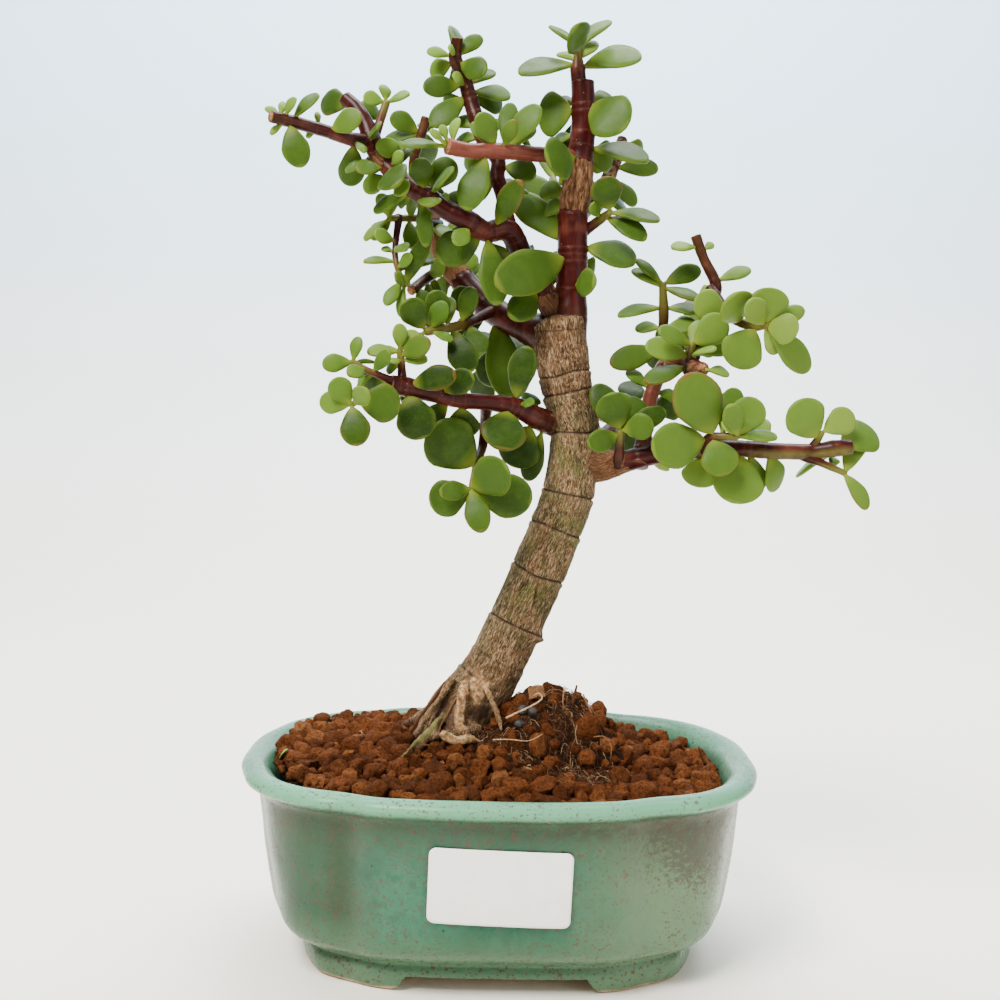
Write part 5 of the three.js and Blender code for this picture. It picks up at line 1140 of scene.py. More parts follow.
def far_leaves(shoot, start, stop, pairs, size, draw):
    """Crosswise pairs of leaves that lean to the back."""
    leaves = []
    centres = shoot["samples"][0]
    for pair in range(pairs):
        share = start + (stop - start) * pair / (pairs - 1)
        centre = centres[int(math.floor(share * (len(centres) - 1) + 0.5))]
        for half in (0, math.pi):
            heading = (pair % 2) * math.pi / 2 + half + FAR_STRAY * (next(draw) - 0.5)
            length = size * (FAR_LENGTH[0] + FAR_LENGTH[1] * next(draw))
            back = length * (FAR_BACK[0] + FAR_BACK[1] * next(draw))
            width = length * (FAR_WIDTH[0] + FAR_WIDTH[1] * next(draw))
            face = FAR_FACE[0] + FAR_FACE[1] * next(draw)
            flat = FAR_REACH * length
            reach = (flat * math.cos(heading), back, flat * math.sin(heading))
            leaves.append((centre[0], centre[2], *reach, width, face))
    return leaves


def place_leaves():
    """Every leaf of the tree, bent clear of those before it; one with no room is left out."""
    rows = [("trunk", *stem_samples(TRUNK))] + [(shoot["name"], *shoot["samples"]) for shoot in SHOOTS]
    stems = (np.vstack([row[1] for row in rows]), np.concatenate([row[2] for row in rows]),
             np.concatenate([[row[0]] * len(row[1]) for row in rows]))
    named = {shoot["name"]: shoot for shoot in SHOOTS}
    placed = []

    def place(shoot, entries):
        for entry in entries:
            straight = grow_leaf(shoot, entry)
            bent = (swung(straight, swing) for swing in SWINGS)
            leaf = next((leaf for leaf in bent if not touches(leaf, placed, stems)), None)
            if leaf:
                placed.append({**leaf, "points": blade_points(leaf)})

    for shoot in SHOOTS:
        place(shoot, shoot["leaves"])
    draw = draws_from(FAR_SEED)
    for name, *pairs in FAR_PAIRS:
        place(named[name], far_leaves(named[name], *pairs, draw))
    for name, entries in YOUNG_EXTRAS.items():
        place(named[name], entries)
    return placed


# ------------------------------------------------------------------ leaves

# Rings along a blade, close together at its root and its tip
BLADE_SHARES = [0, 0.05, 0.12, 0.2, 0.3, 0.4, 0.5, 0.6, 0.7, 0.79, 0.87, 0.93, 0.97, 0.992, 1.0]
BLADE_SIDES = 16
BLADE_SUNK = 0.7  # how much of the way to the stem's middle a blade goes
TIP_SHARE, TIP_WIDTH, TIP_THICKNESS, TIP_POINT = 0.992, 0.13, 0.55, 0.01
PLUMPNESS = 0.85  # less than 1 makes the blade's section fuller than an ellipse
MOST_CUP, MOST_CURL, MOST_TWIST, MOST_SKEW = 0.1, 0.1, 0.16, 0.1
YOUNG_LENGTH = (8.0, 12.0)
# Partly each spray's own tone, partly painted light and shade: paler sprays that face up into the light, and
# darker ones below 0 that lie in shade inside and under the crown
SPRAY_SHADE_AND_LIGHT = {
    "branch_low": -1.0, "shoot_back_low": -1.0, "shoot_back_right": -0.9, "twig_centre": -0.9,
    "twig_side": -0.6, "twig_low_left": -0.6, "rosette_trunk": -0.5, "twig_drop": -0.45,
    "limb_fork": -0.35, "twig_tall": -0.25, "twig_low_front": -0.3, "branch_upper": -0.3,
    "shoot_up": -0.2, "twig_hanging": -0.5, "twig_low_up": -0.1, "leader": -0.1, "rosette_mid": 0.35,
    "branch_right": 0.4, "rosette_right": 0.6, "twig_end_up": 0.7, "twig_mid": 0.6, "twig_end_low": 0.4,
}


def make_leaves(node, leaves, material, draw):
    """The blades of one spray: fleshy, cupped and a little bent, each with its own tint, shifted by the
    spray's painted light and shade.
    """
    angles = np.linspace(0, 2 * np.pi, BLADE_SIDES, endpoint=False)
    around, lift = np.cos(angles), np.sin(angles)
    plump = np.sign(lift) * np.abs(lift) ** PLUMPNESS
    points, faces = [], []
    marks = {key: [] for key in ("tint", "young", "under", "base", "rim", "blush")}
    for leaf in leaves:
        across = np.cross(leaf["normal"], leaf["along"])
        length, width = leaf["length"], leaf["width"]
        cup, curl = MOST_CUP * next(draw), MOST_CURL * (next(draw) - 0.35)
        twist, skew = MOST_TWIST * (next(draw) - 0.5), MOST_SKEW * (next(draw) - 0.5)
        tint, blush = next(draw), next(draw)
        shares = [-BLADE_SUNK * leaf["sunk"] / (1 - leaf["sunk"]), *BLADE_SHARES]
        faces.extend(loft_faces(len(shares), BLADE_SIDES, len(points)))
        for share in shares:
            half = max(LEAF_ROOT_HALF_WIDTH, width / 2 * float(blade_outline(share)))
            thick = leaf["thickness"] / 2 * (0.72 + 0.28 * smoothstep(0, 0.35, share))
            thick *= 1 - 0.35 * smoothstep(0.6, 1, share)
            if share >= TIP_SHARE:
                half, thick = width / 2 * TIP_WIDTH, thick * TIP_THICKNESS
            if share == 1:
                half, thick = TIP_POINT, TIP_POINT
            free = max(0, share)
            reach = leaf["sunk"] + (1 - leaf["sunk"]) * share
            lateral = half * around + skew * width * math.sin(math.pi * free) * 0.5
            rise = (thick * plump + LEAF_ARCH * length * math.sin(math.pi * min(1, free))
                    + cup * half * (around ** 2) - curl * length * free ** 2 + twist * free * half * around)
            points.extend(leaf["root"] + reach * length * leaf["along"]
                          + np.outer(lateral, across) + np.outer(rise, leaf["normal"]))
            marks["under"].extend(np.where(lift < -0.1, 1.0, 0.0))
            marks["base"].extend([1 - float(smoothstep(0.02, 0.3, free))] * BLADE_SIDES)
            edge = np.abs(around) ** 14 if share < 0.96 else np.ones(BLADE_SIDES)
            marks["rim"].extend(edge * float(smoothstep(0.25, 0.5, free)))
        # Each leaf's own random tint, shifted by its spray's painted light and shade
        tone = 0.33 + 0.34 * tint + 0.5 * SPRAY_SHADE_AND_LIGHT.get(leaf["shoot"], 0)
        whole = {
            "tint": float(np.clip(tone, 0, 1)), "young": 1 - smoothstep(*YOUNG_LENGTH, length),
            "blush": 0.7 * float(smoothstep(0.7, 1.0, blush)),
        }
        for key, value in whole.items():
            marks[key].extend([value] * (len(shares) * BLADE_SIDES))
    piece = mesh_object(node + "_leaves", points, faces, material, marks)
    return finished(piece, "foliage", node)


# ------------------------------------------------------------------ stems

def tube(path, radii, sides, swell=None):
    """Rings round a path, and which way each of their points faces; swell(index, angles) shapes them."""
    tangents = np.gradient(path, axis=0)
    tangents /= np.linalg.norm(tangents, axis=1)[:, None]
    across = np.array([1.0, 0, 0]) if abs(tangents[0][2]) > 0.9 else np.array([0, 0, 1.0])
    angles = np.linspace(0, 2 * np.pi, sides, endpoint=False)
    rings, directions = [], []
    for index, (centre, tangent, radius) in enumerate(zip(path, tangents, radii)):
        across = unit(across - tangent * across.dot(tangent))
        beside = np.cross(tangent, across)
        outward = np.outer(np.cos(angles), across) + np.outer(np.sin(angles), beside)
        size = radius * (np.ones(sides) if swell is None else swell(index, angles))
        rings.append(centre + outward * size[:, None])
        directions.append(outward)
    return np.array(rings), np.array(directions)


def even_path(stem, step):
    """Evenly spaced points along the CAD's curve, with their radii and their places along it."""
    centres, radii = stem_samples(stem)
    travelled = np.concatenate([[0], np.cumsum(np.linalg.norm(np.diff(centres, axis=0), axis=1))])
    count = max(3, int(round(travelled[-1] / step)))
    places = np.linspace(0, travelled[-1], count + 1)
    points = np.column_stack([np.interp(places, travelled, centres[:, axis]) for axis in range(3)])
    return points, np.interp(places, travelled, radii), places


STEM_SIDES = 20
STEM_RING_STEP = 0.5
NODE_SPACING = (6.0, 9.5)  # least and greatest way between two bare leaf joints
NODE_CLEAR = 4  # least way from a bare joint to one with leaves
JOINT_LINE, JOINT_SWELL = 0.24, 0.9  # widths of a joint's line and of the swelling before it
COLLAR_START = 1.6  # how far from its start a stem's collar reaches in full, in radii
SHADE_START = 1.2  # the same for the painted shade at its root, where it meets the wood that carries it
# Rings that close a stem's end: lift, share of the radius, how much of a scar. Of a tip, the lift
# is in radii
CUT_END = [(0.12, 0.93, 0.5), (0.2, 0.8, 1), (-0.05, 0.55, 1), (-0.2, 0.25, 1)]
TIP_END = [(0.35, 0.8, 0), (0.6, 0.45, 0)]
WOOD_EDGE = 0.03  # over this share of its length a shoot turns to bark
# Shoots that have turned to bark: name, first and last share of the length, how much, how smooth
WOODY = [
    ("leader", -0.1, 0.03, 0.8, 0.3), ("leader", 0.49, 0.69, 1.0, 0.0),
    ("limb_left", 0.43, 0.72, 0.8, 1.0), ("limb_fork", -0.1, 0.1, 0.6, 0.5),
    ("limb_fork", 0.73, 0.8, 0.6, 0.5), ("branch_right", -0.1, 0.2, 0.8, 0.4),
    ("branch_low", -0.1, 0.1, 0.6, 0.4), ("branch_upper", 0.6, 1.1, 0.5, 0.2),
    ("twig_behind", 0.3, 1.1, 0.5, 0.4),
]
OLIVE = {"branch_right": 0.9, "twig_end_low": 1.0, "twig_end_up": 0.9, "branch_upper": 0.3}
ROSY = {"twig_front": 1.0, "branch_upper": 0.6, "twig_tall": 0.4, "twig_low_left": 0.4}
# How much, and over what length, a shoot's root widens into its carrier
COLLARS = {"branch_right": (0.55, 4.5), "branch_low": (0.0, 1.0), "limb_left": (0.4, 6.0)}
PLAIN_COLLAR = (0.12, 2.5)
# How far a shoot's foot is drawn into the wood that carries it, and over what length
TUCKS = {"twig_front": (0.0, 4.2, 0.0), "branch_low": (1.5, 4.5, 0.5)}
TUCK_LENGTH = 9


def rooted(shoot):
    """The shoot's path, begun deeper in the wood that carries it."""
    stem = np.array(shoot["stem"], float)
    first = stem[0].copy()
    first[:3] += unit(stem[0][:3] - stem[1][:3]) * (1.2 * stem[0][3])
    first[3] *= 1.02
    return np.vstack([first, stem])


def joint_places(shoot, centres, places, leaves, draw):
    """Where the stem has joints: at its leaves, and between them where leaves have dropped."""
    roots = [leaf["root"] for leaf in leaves if leaf["shoot"] == shoot["name"]]
    nearest = [places[np.argmin(np.linalg.norm(centres - root, axis=1))] for root in roots]
    joints = sorted({round(float(place) / 2) * 2 for place in nearest})
    spot = NODE_SPACING[0]
    while spot < places[-1]:
        if all(abs(spot - joint) > NODE_CLEAR for joint in joints):
            joints.append(spot)
        spot += NODE_SPACING[0] + (NODE_SPACING[1] - NODE_SPACING[0]) * next(draw)
    return joints


def barked(shoot, shares):
    """How much each place along a shoot has turned to bark, and how smooth that bark is."""
    wood, tan = np.zeros(len(shares)), np.zeros(len(shares))
    for name, start, stop, much, smooth in WOODY:
        if name == shoot["name"]:
            inside = smoothstep(start - WOOD_EDGE, start + WOOD_EDGE, shares)
            inside = inside * smoothstep(stop + WOOD_EDGE, stop - WOOD_EDGE, shares)
            wood, tan = np.maximum(wood, much * inside), np.maximum(tan, smooth * inside)
    return wood, tan


def grow_stem(shoot, leaves, draw):
    """Points of one stem in rings, and its marks for the material."""
    name, thick, cut = shoot["name"], shoot["stem"][0][3], shoot["end"] == "cut"
    centres, radii, places = even_path(rooted(shoot), STEM_RING_STEP)
    centres = centres + np.array(TUCKS.get(name, (0, 0, 0))) * smoothstep(TUCK_LENGTH, 0, places)[:, None]
    total = places[-1]
    line, swell = np.zeros(len(places)), np.zeros(len(places))
    for joint in joint_places(shoot, centres, places, leaves, draw):
        line = np.maximum(line, bell((places - joint) / JOINT_LINE))
        swell = np.maximum(swell, bell((places - joint + 0.8) / JOINT_SWELL))
    much, reach = COLLARS.get(name, PLAIN_COLLAR)
    collar = much * bell(np.maximum(0, places - COLLAR_START * thick) / reach)
    size = radii * (1 + 0.03 * swell - 0.02 * line + collar)
    end, last = unit(centres[-1] - centres[-2]), centres[-1]
    closing = CUT_END if cut else TIP_END
    for lift, share, _ in closing:
        centres = np.vstack([centres, last + end * lift * (1 if cut else radii[-1])])
        size = np.append(size, radii[-1] * share)
    cap = np.append(np.zeros(len(places)), [scar for *_, scar in closing])
    line = np.append(line, np.zeros(len(closing)))
    places = np.append(places, np.full(len(closing), total))
    wood, tan = barked(shoot, places / total)
    rings, outward = tube(centres, size, STEM_SIDES)
    flat, out = rings.reshape(-1, 3), outward.reshape(-1, 3)
    level = np.repeat(np.arange(len(rings)), STEM_SIDES)
    drift = 40 * next(draw)
    side = out * size[level][:, None]
    grain = np.column_stack([side[:, 0] + side[:, 2], side[:, 1] - side[:, 2], places[level] + drift])
    fissures = 0.34 * rumple(grain * [1.6, 1.6, 0.35], 1.0, 3)
    rough = (wood * (1 - tan))[level] * fissures + 0.07 * rumple(flat, 3.0, 2)
    flat = flat + out * (rough * (cap[level] < 0.9))[:, None]
    flat = flat + np.where(cap[level] > 0.9, 0.16 * rumple(flat, 0.9, 3), 0)[:, None] * unit(end)
    young = 1 - smoothstep(1.2, 1.9, radii[-1])
    olive = OLIVE.get(name, 0.0) * smoothstep(0.3, 0.5, places / total)[level]
    marks = {
        "wood": wood[level], "tan": tan[level], "olive": olive * smoothstep(0.4, -0.4, out[:, 2]),
        "rosy": np.full(len(level), ROSY.get(name, 0.0)),
        "fresh": young * smoothstep(0.45, 1.0, places / total)[level] * (0.3 if cut else 1.0),
        "ring": line[level], "cut": cap[level],
        # painted shade at the stem's root
        "dark": bell(np.maximum(0, places - SHADE_START * thick) / 3.0)[level], "bark": grain,
    }
    return flat, marks


def make_stems(node, shoots, leaves, material, draw):
    points, faces, marks = [], [], {}
    for shoot in shoots:
        flat, own = grow_stem(shoot, leaves, draw)
        faces.extend(loft_faces(len(flat) // STEM_SIDES, STEM_SIDES, len(points)))
        points.extend(flat)
        for key, values in own.items():
            marks.setdefault(key, []).extend(values)
    return finished(mesh_object(node + "_stems", points, faces, material, marks), "foliage", node)


# ------------------------------------------------------------------ trunk

TRUNK_RING_STEP = 1.0
TRUNK_SIDES, ROOT_SIDES, BARE_ROOT_SIDES = 72, 20, 16
TRUNK_VOXEL = 0.5
TRUNK_TOP = [(0.5, 7.44), (0.9, 6.4), (1.1, 4.8)]  # the rounded shoulder under the leader: lift, radius
# How plain each of the ring scars is, from the foot up
SCAR_STRENGTHS = [0.25, 1.0, 0.95, 0.9, 1.0, 1.0, 0.9, 0.85, 0.35]
FOOT_SCAR = (79.5, 0.8)  # height and strength of one more scar
GROOVE_WIDTH, RIDGE_WIDTH, RIDGE_DROP = 0.28, 0.7, 0.9
# Bared roots about the trunk's foot: route points with a radius, how pale, how mossy
BARE_ROOTS = [
    ([(-10.6, -8.5, 80.0, 1.0), (-11.2, -12.0, 77.4, 1.7), (-11.6, -13.0, 74.0, 1.35),
      (-11.7, -13.2, 70.0, 1.2), (-11.5, -13.5, 66.0, 1.2)], 1.0, 0.0),
    ([(-4.5, -8.5, 80.0, 1.0), (-3.6, -10.5, 77.5, 1.1), (-2.0, -12.0, 74.0, 1.0),
      (-0.5, -13.0, 70.5, 0.9), (0.5, -14.0, 67.0, 0.7)], 0.35, 0.0),
    ([(-17.0, -17.5, 67.2, 1.0), (-15.2, -19.0, 66.2, 1.7), (-12.1, -19.5, 65.2, 1.3),
      (-9.0, -19.0, 65.9, 1.5), (-6.0, -18.0, 65.0, 0.6)], 0.95, 0.2),
    ([(-17.0, -10.5, 70.5, 0.8), (-21.0, -14.5, 66.9, 1.0), (-24.0, -18.5, 64.6, 0.8),
      (-26.5, -22.5, 62.7, 0.6), (-28.5, -26.0, 61.2, 0.3)], 0.75, 0.9),
    ([(-14.5, -6.5, 81.0, 1.2), (-18.0, -9.0, 75.2, 1.0), (-21.2, -10.5, 70.6, 0.9),
      (-24.2, -11.5, 66.0, 0.7)], 0.1, 0.0),
]
# The trunk's top falls away to the left of the leader
SHOULDER_X, SHOULDER_Z, SHOULDER_SLOPE = 12.6, 188.7, 0.8
KNOB = np.array([10.6, -4.5, 93.2])  # an old wound on the trunk's right
KNOB_SIZE = np.array([2.3, 2.8, 1.9])
CRACK_X, CRACK_LEAN, CRACK_FOOT, CRACK_WIDTH = 9.6, 0.09, 104, 0.45
SCRAPE = (-7.0, 78.5, 3.4, 5.0)  # bare wood on the front: x, z, half width, half height
HOLLOWS = [(-6.2, 71.5, 3.0, 2.6), (-16.5, 70.5, 3.2, 4.4)]  # hollows between the roots, darkened with painted shade streaked like hairs


def flare(z, angles):
    drop = float(np.clip((FLARE_TOP - z) / (FLARE_TOP - FLARE_BOTTOM), 0, 1))
    return 1 + FLARE_SWELL * drop * drop * (0.6 + 0.4 * np.cos(FLARE_LOBES * angles + 1))


def make_trunk(material):
    """Trunk and surface roots fused into one skin, then barked, ringed and scarred."""
    centres, radii, _ = even_path(TRUNK, TRUNK_RING_STEP)
    end = unit(centres[-1] - centres[-2])
    tops = [TRUNK[-1][:3] + end * lift for lift, _ in TRUNK_TOP]
    centres, radii = np.vstack([centres, *tops]), np.append(radii, [radius for _, radius in TRUNK_TOP])
    skins = [tube(centres, radii, TRUNK_SIDES, lambda index, angles: flare(centres[index][2], angles))[0]]
    roots = [(root, ROOT_SIDES) for root in ROOTS] + [(root, BARE_ROOT_SIDES) for root, *_ in BARE_ROOTS]
    for root, sides in roots:
        path, sizes, _ = even_path(root, TRUNK_RING_STEP)
        skins.append(tube(path, sizes, sides)[0])
    points, faces = [], []
    for rings in skins:
        faces.extend(loft_faces(*rings.shape[:2], len(points)))
        points.extend(rings.reshape(-1, 3))
    trunk = mesh_object("trunk_bark", points, faces, material)
    remesh = trunk.modifiers.new("skin", "REMESH")
    remesh.mode = "VOXEL"
    remesh.voxel_size = TRUNK_VOXEL * MM
    remesh.use_smooth_shade = True
    ease = trunk.modifiers.new("ease", "SMOOTH")
    ease.factor = 0.5
    ease.iterations = 6
    apply_modifiers(trunk)
    dress_trunk(trunk.data)
    trunk.data.polygons.foreach_set("use_smooth", [True] * len(trunk.data.polygons))
    return finished(trunk, "bark", "trunk")


def oval(x, z, middle_x, middle_z, half_x, half_z):
    """Distance from the middle of an oval on the front, 1 on its outline."""
    return np.hypot((x - middle_x) / half_x, (z - middle_z) / half_z)


def ring_scars(height):
    """A groove and the ridge under it at each scar, the way to the nearest and its strength."""
    groove, ridge, strength = np.zeros((3, len(height)))
    offset = np.full(len(height), 9.0)
    for scar, plain in [*zip(RING_SCARS, SCAR_STRENGTHS), FOOT_SCAR]:
        own = height - scar
        nearer = np.abs(own) < np.abs(offset)
        offset, strength = np.where(nearer, own, offset), np.where(nearer, plain, strength)
        groove = np.maximum(groove, plain * bell(own / GROOVE_WIDTH))
        ridge = np.maximum(ridge, plain * bell((own + RIDGE_DROP) / RIDGE_WIDTH))
    return groove, ridge, offset, strength


def dress_trunk(mesh):
    """Bark relief, and marks that tell the material where the bark is ringed, bare or mossy."""
    places = (vectors_of(mesh, "co") - ORIGIN) / MM
    outward = vectors_of(mesh, "normal")
    centres, _, along = even_path(TRUNK, 0.5)
    nearest = np.array([np.argmin(np.sum((centres - place) ** 2, axis=1)) for place in places])
    side = places - centres[nearest]
    slope = np.gradient(centres, axis=0)[nearest]
    slope /= np.linalg.norm(slope, axis=1)[:, None]
    beyond = np.einsum("ij,ij->i", side, slope)
    grain = np.column_stack([side[:, 0] - side[:, 2] * 0.6, side[:, 1], along[nearest] + beyond])
    fissures = rumple(grain * [1, 1, 0.24], 0.9, 3)
    plates = rumple(grain * [1, 1, 0.4], 4.5, 3)
    shoulder = SHOULDER_Z - SHOULDER_SLOPE * np.maximum(0, SHOULDER_X - places[:, 0])
    places[:, 2] = np.minimum(places[:, 2], shoulder)
    x, y, z = places.T
    above_roots = smoothstep(77, 79, z)
    height = centres[nearest][:, 2] + beyond * 0.8 + 0.6 * rumple(places, 10, 2)
    groove, ridge, scar_offset, scar_strength = ring_scars(height)
    groove, ridge = groove * above_roots, ridge * above_roots
    knob = np.exp(-np.sum(((places - KNOB) / KNOB_SIZE) ** 2, axis=1))
    crack = bell((x - CRACK_X - CRACK_LEAN * (z - CRACK_FOOT) + 0.5 * rumple(places, 3, 2)) / CRACK_WIDTH)
    crack *= smoothstep(101, 104, z) * smoothstep(111, 108, z) * (y < -2)
    depth = 0.22 * fissures + 0.3 * plates - 0.6 * groove + 0.32 * ridge + 2.4 * knob - 1.1 * crack
    relief = (places + outward * depth[:, None]) * MM + ORIGIN
    mesh.vertices.foreach_set("co", relief.astype(np.float32).ravel())
    mesh.update()
    facing = smoothstep(0.0, -0.45, outward[:, 1])
    blur = rumple(places, 3.5, 3)
    pale = 0.8 * facing * smoothstep(1.2, 0.8, oval(x, z, *SCRAPE) + 0.5 * blur)
    mossy = np.zeros(len(places))
    for root, paleness, moss in BARE_ROOTS:
        line, sizes, _ = even_path(root, 0.4)
        away = np.linalg.norm(places[:, None] - line[None], axis=2)
        near = smoothstep(0.9, 0.3, (away - sizes[None]).min(axis=1) + 0.25 * blur) * (outward[:, 2] > -0.6)
        pale, mossy = np.maximum(pale, paleness * near), np.maximum(mossy, moss * near)
    hollow = np.minimum(*(oval(x, z, *place) for place in HOLLOWS))
    green = smoothstep(98, 110, z) * smoothstep(166, 150, z)
    add_marks(mesh, {
        "scar_offset": scar_offset, "scar": np.minimum(1, 1.25 * scar_strength) * above_roots,
        "groove": np.maximum(groove, np.maximum(crack, 0.5 * knob * (blur < 0))), "ridge": ridge,
        "pale": pale, "green": green * smoothstep(-0.35, 0.25, rumple(places, 9, 2)), "mossy": mossy,
        # painted shade in the hollows between the roots, on the front
        "hollow_shade": smoothstep(1.25, 0.7, hollow + 0.35 * blur) * facing * (1 - pale),
        "soil": smoothstep(68, 61, z) * (1 - pale),
        "red": smoothstep(158, 172, z) * 0.8 + 0.5 * smoothstep(96, 84, z), "bark": grain,
    })


# ------------------------------------------------------------------ soil

SOIL_GRID = (120, 96)
SOIL_TUCK = 0.6  # how much further in than the solid's the bed's edge lies
BED_SINK = 1.6  # how far the bed lies below the tops of its granules
BED_LEVELS = (17.0, FLOOR_Z + 0.3)


def soil_height(x, y):
    mound = MOUND_RISE * np.exp(-(((x - MOUND_X) / MOUND_REACH) ** 2) - ((y / MOUND_REACH) ** 2))
    return SOIL_MIDDLE_Z + SOIL_FALL_X * x + SOIL_FALL_Y * y + mound


def ball_height(x, y):
    away = np.minimum(1, np.hypot((x - BALL_X) / BALL_HALF_X, y / BALL_HALF_Y))
    return BALL_FOOT + (BALL_CROWN - BALL_FOOT) * (1 - away * away) ** (1 / BALL_SLOPE)


def surface_height(x, y):
    return max(float(soil_height(x, y)), float(ball_height(x, y)))


def make_soil(material):
    """The dark bed under the granules, down to the pot's floor."""
    columns, rows = SOIL_GRID
    half_x = inside_half_width(SOIL_EDGE_Z) - SOIL_EDGE_GAP - SOIL_TUCK
    half_y = half_x - POT_DEPTH_STEP
    u, v = np.meshgrid(np.linspace(-1, 1, columns + 1), np.linspace(-1, 1, rows + 1))
    x = half_x * u * np.sqrt(1 - SOIL_CORNER * v * v)
    y = half_y * v * np.sqrt(1 - SOIL_CORNER * u * u)
    shrink = valley_shrink(x, y)
    x, y = (x * shrink).ravel(), (y * shrink).ravel()
    top = soil_height(x, y) - BED_SINK
    top += 1.1 * rumple(np.column_stack([x, y, np.zeros_like(x)]), 4.5, 3)
    points = list(np.column_stack([x, y, top]))
    faces = grid_faces(columns, rows)
    above = grid_edge(columns, rows)
    outline = [points[index][:2] for index in above]
    for z in BED_LEVELS:
        low_x = inside_half_width(z) - SOIL_EDGE_GAP
        low_y = low_x - POT_DEPTH_STEP
        below = [len(points) + index for index in range(len(above))]
        points.extend((px * low_x / half_x, py * low_y / half_y, z) for px, py in outline)
        faces.extend(zip(above, below, below[1:] + below[:1], above[1:] + above[:1]))
        above = below
    faces.append(tuple(reversed(above)))
    return finished(mesh_object("soil_bed", points, faces, material), "granules", "soil")


GRANULE_SEED = 7
# Three sizes of lump: count of tries, least and greatest radius, detail, lift over the bed,
# meshes, and how often one that falls on a fibrous patch is left out
GRANULE_SORTS = [
    (2600, 2.3, 3.9, 3, (-0.6, 0.9), 2, 0.97), (5200, 1.4, 2.3, 2, (-0.9, 0.4), 1, 0.85),
    (7000, 0.7, 1.4, 1, (-1.2, 0.1), 1, 0.85),
]
GRANULE_SHAPES = 14
GRANULE_FLATS = 9  # flat sides worn on a lump
GRANULE_SPREAD = (66, 50)
GRANULE_NEARNESS = 0.8  # least distance between two, as a share of their radii
GRANULE_SCALE = 1.16  # makes up for what the flat sides take off
# Roughness of the lumps in falling sizes: amount, size. A coarser lump gets more of them
GRANULE_ROUGH = [(0.12, 0.8), (0.1, 0.33), (0.055, 0.14)]
# Bare fibrous patches on the old root ball: x, y, radius
FIBRE_PATCHES = [
    (20, -6, 7.5), (24, -20, 9.0), (-4, -15, 5.0), (-19, -11, 4.5), (9, -20, 3.5), (7.5, -13, 3.5),
]


def icosphere(subdivisions):
    maker = bmesh.new()
    bmesh.ops.create_icosphere(maker, subdivisions=subdivisions, radius=1.0)
    points = np.array([vertex.co[:] for vertex in maker.verts])
    faces = [tuple(vertex.index for vertex in face.verts) for face in maker.faces]
    maker.free()
    return points, faces


def granule_shapes(rng, detail):
    """Rough, blocky lumps to be turned and scaled for each granule."""
    sphere, faces = icosphere(detail)
    shapes = []
    for _ in range(GRANULE_SHAPES):
        shape = sphere * (0.82 + 0.36 * rng.random(3))
        for _ in range(GRANULE_FLATS):
            flat = unit(rng.normal(size=3))
            over = shape @ flat - (0.52 + 0.26 * rng.random())
            shape -= np.outer(np.maximum(over, 0) * 0.97, flat)
        shift = rng.normal(size=3) * 20
        swell = 1
        for (amount, size), way in zip(GRANULE_ROUGH[:detail], (1, -1, 2)):
            swell = swell + amount * rumple(shape + way * shift, size, 2)
        shapes.append(shape * swell[:, None] * GRANULE_SCALE)
    return shapes, faces


def in_the_pot(x, y, z, margin):
    half_x = inside_half_width(z) - margin
    half_y = half_x - POT_DEPTH_STEP
    return (abs(x) / half_x) ** POT_SQUARENESS + (abs(y) / half_y) ** POT_SQUARENESS <= 1


def in_fibre(x, y):
    return any(math.hypot(x - px, y - py) < radius for px, py, radius in FIBRE_PATCHES)


def make_granules(material):
    """Lumps of baked clay strewn over the bed in three sizes, the large ones first."""
    rng = np.random.default_rng(GRANULE_SEED)
    paths = [stem_samples(root) for root in [TRUNK, *ROOTS, *(row[0] for row in BARE_ROOTS)]]
    wood, thick = np.vstack([path[0] for path in paths]), np.concatenate([path[1] for path in paths])
    places, sizes = np.empty((0, 3)), np.empty(0)
    for sort, (tries, least, most, detail, (sink, rise), meshes, left_out) in enumerate(GRANULE_SORTS, 1):
        shapes, faces = granule_shapes(rng, detail)
        first = len(places)
        for _ in range(tries):
            radius = least + (most - least) * rng.random()
            x, y = GRANULE_SPREAD[0] * (2 * rng.random() - 1), GRANULE_SPREAD[1] * (2 * rng.random() - 1)
            lift = sink + (rise - sink) * rng.random() ** 1.4
            if in_fibre(x, y) and rng.random() < left_out:
                continue
            place = np.array([x, y, surface_height(x, y) - 0.4 * radius + lift])
            clear = np.all(np.linalg.norm(wood - place, axis=1) > thick + 0.35 * radius)
            apart = np.all(np.linalg.norm(places - place, axis=1) >= GRANULE_NEARNESS * (sizes + radius))
            if clear and apart and in_the_pot(x, y, min(place[2], 55), radius + 0.7):
                places, sizes = np.vstack([places, place]), np.append(sizes, radius)
        for batch in np.array_split(np.arange(first, len(places)), meshes):
            points, all_faces, tints = [], [], []
            for number in batch:
                shape = shapes[number % len(shapes)] * sizes[number]
                turn = np.linalg.qr(rng.normal(size=(3, 3)))[0]
                start = len(points)
                points.extend(shape @ turn + places[number])
                all_faces.extend([(a + start, b + start, c + start) for a, b, c in faces])
                tints.extend([rng.random()] * len(shape))
            piece = mesh_object(f"clay_lumps_{sort}_{batch[0]}", points, all_faces, material, {"tint": tints})
            finished(piece, "granules", "soil")


# ------------------------------------------------------------------ root ball and fine roots

BALL_GRID = (44, 140)  # rings up the old root ball, and points round it
BALL_TOP = 0.985  # the last ring, as a share of the ball's rise
BALL_LOWER = 1.0  # how much lower than the solid the mat is under its hairs


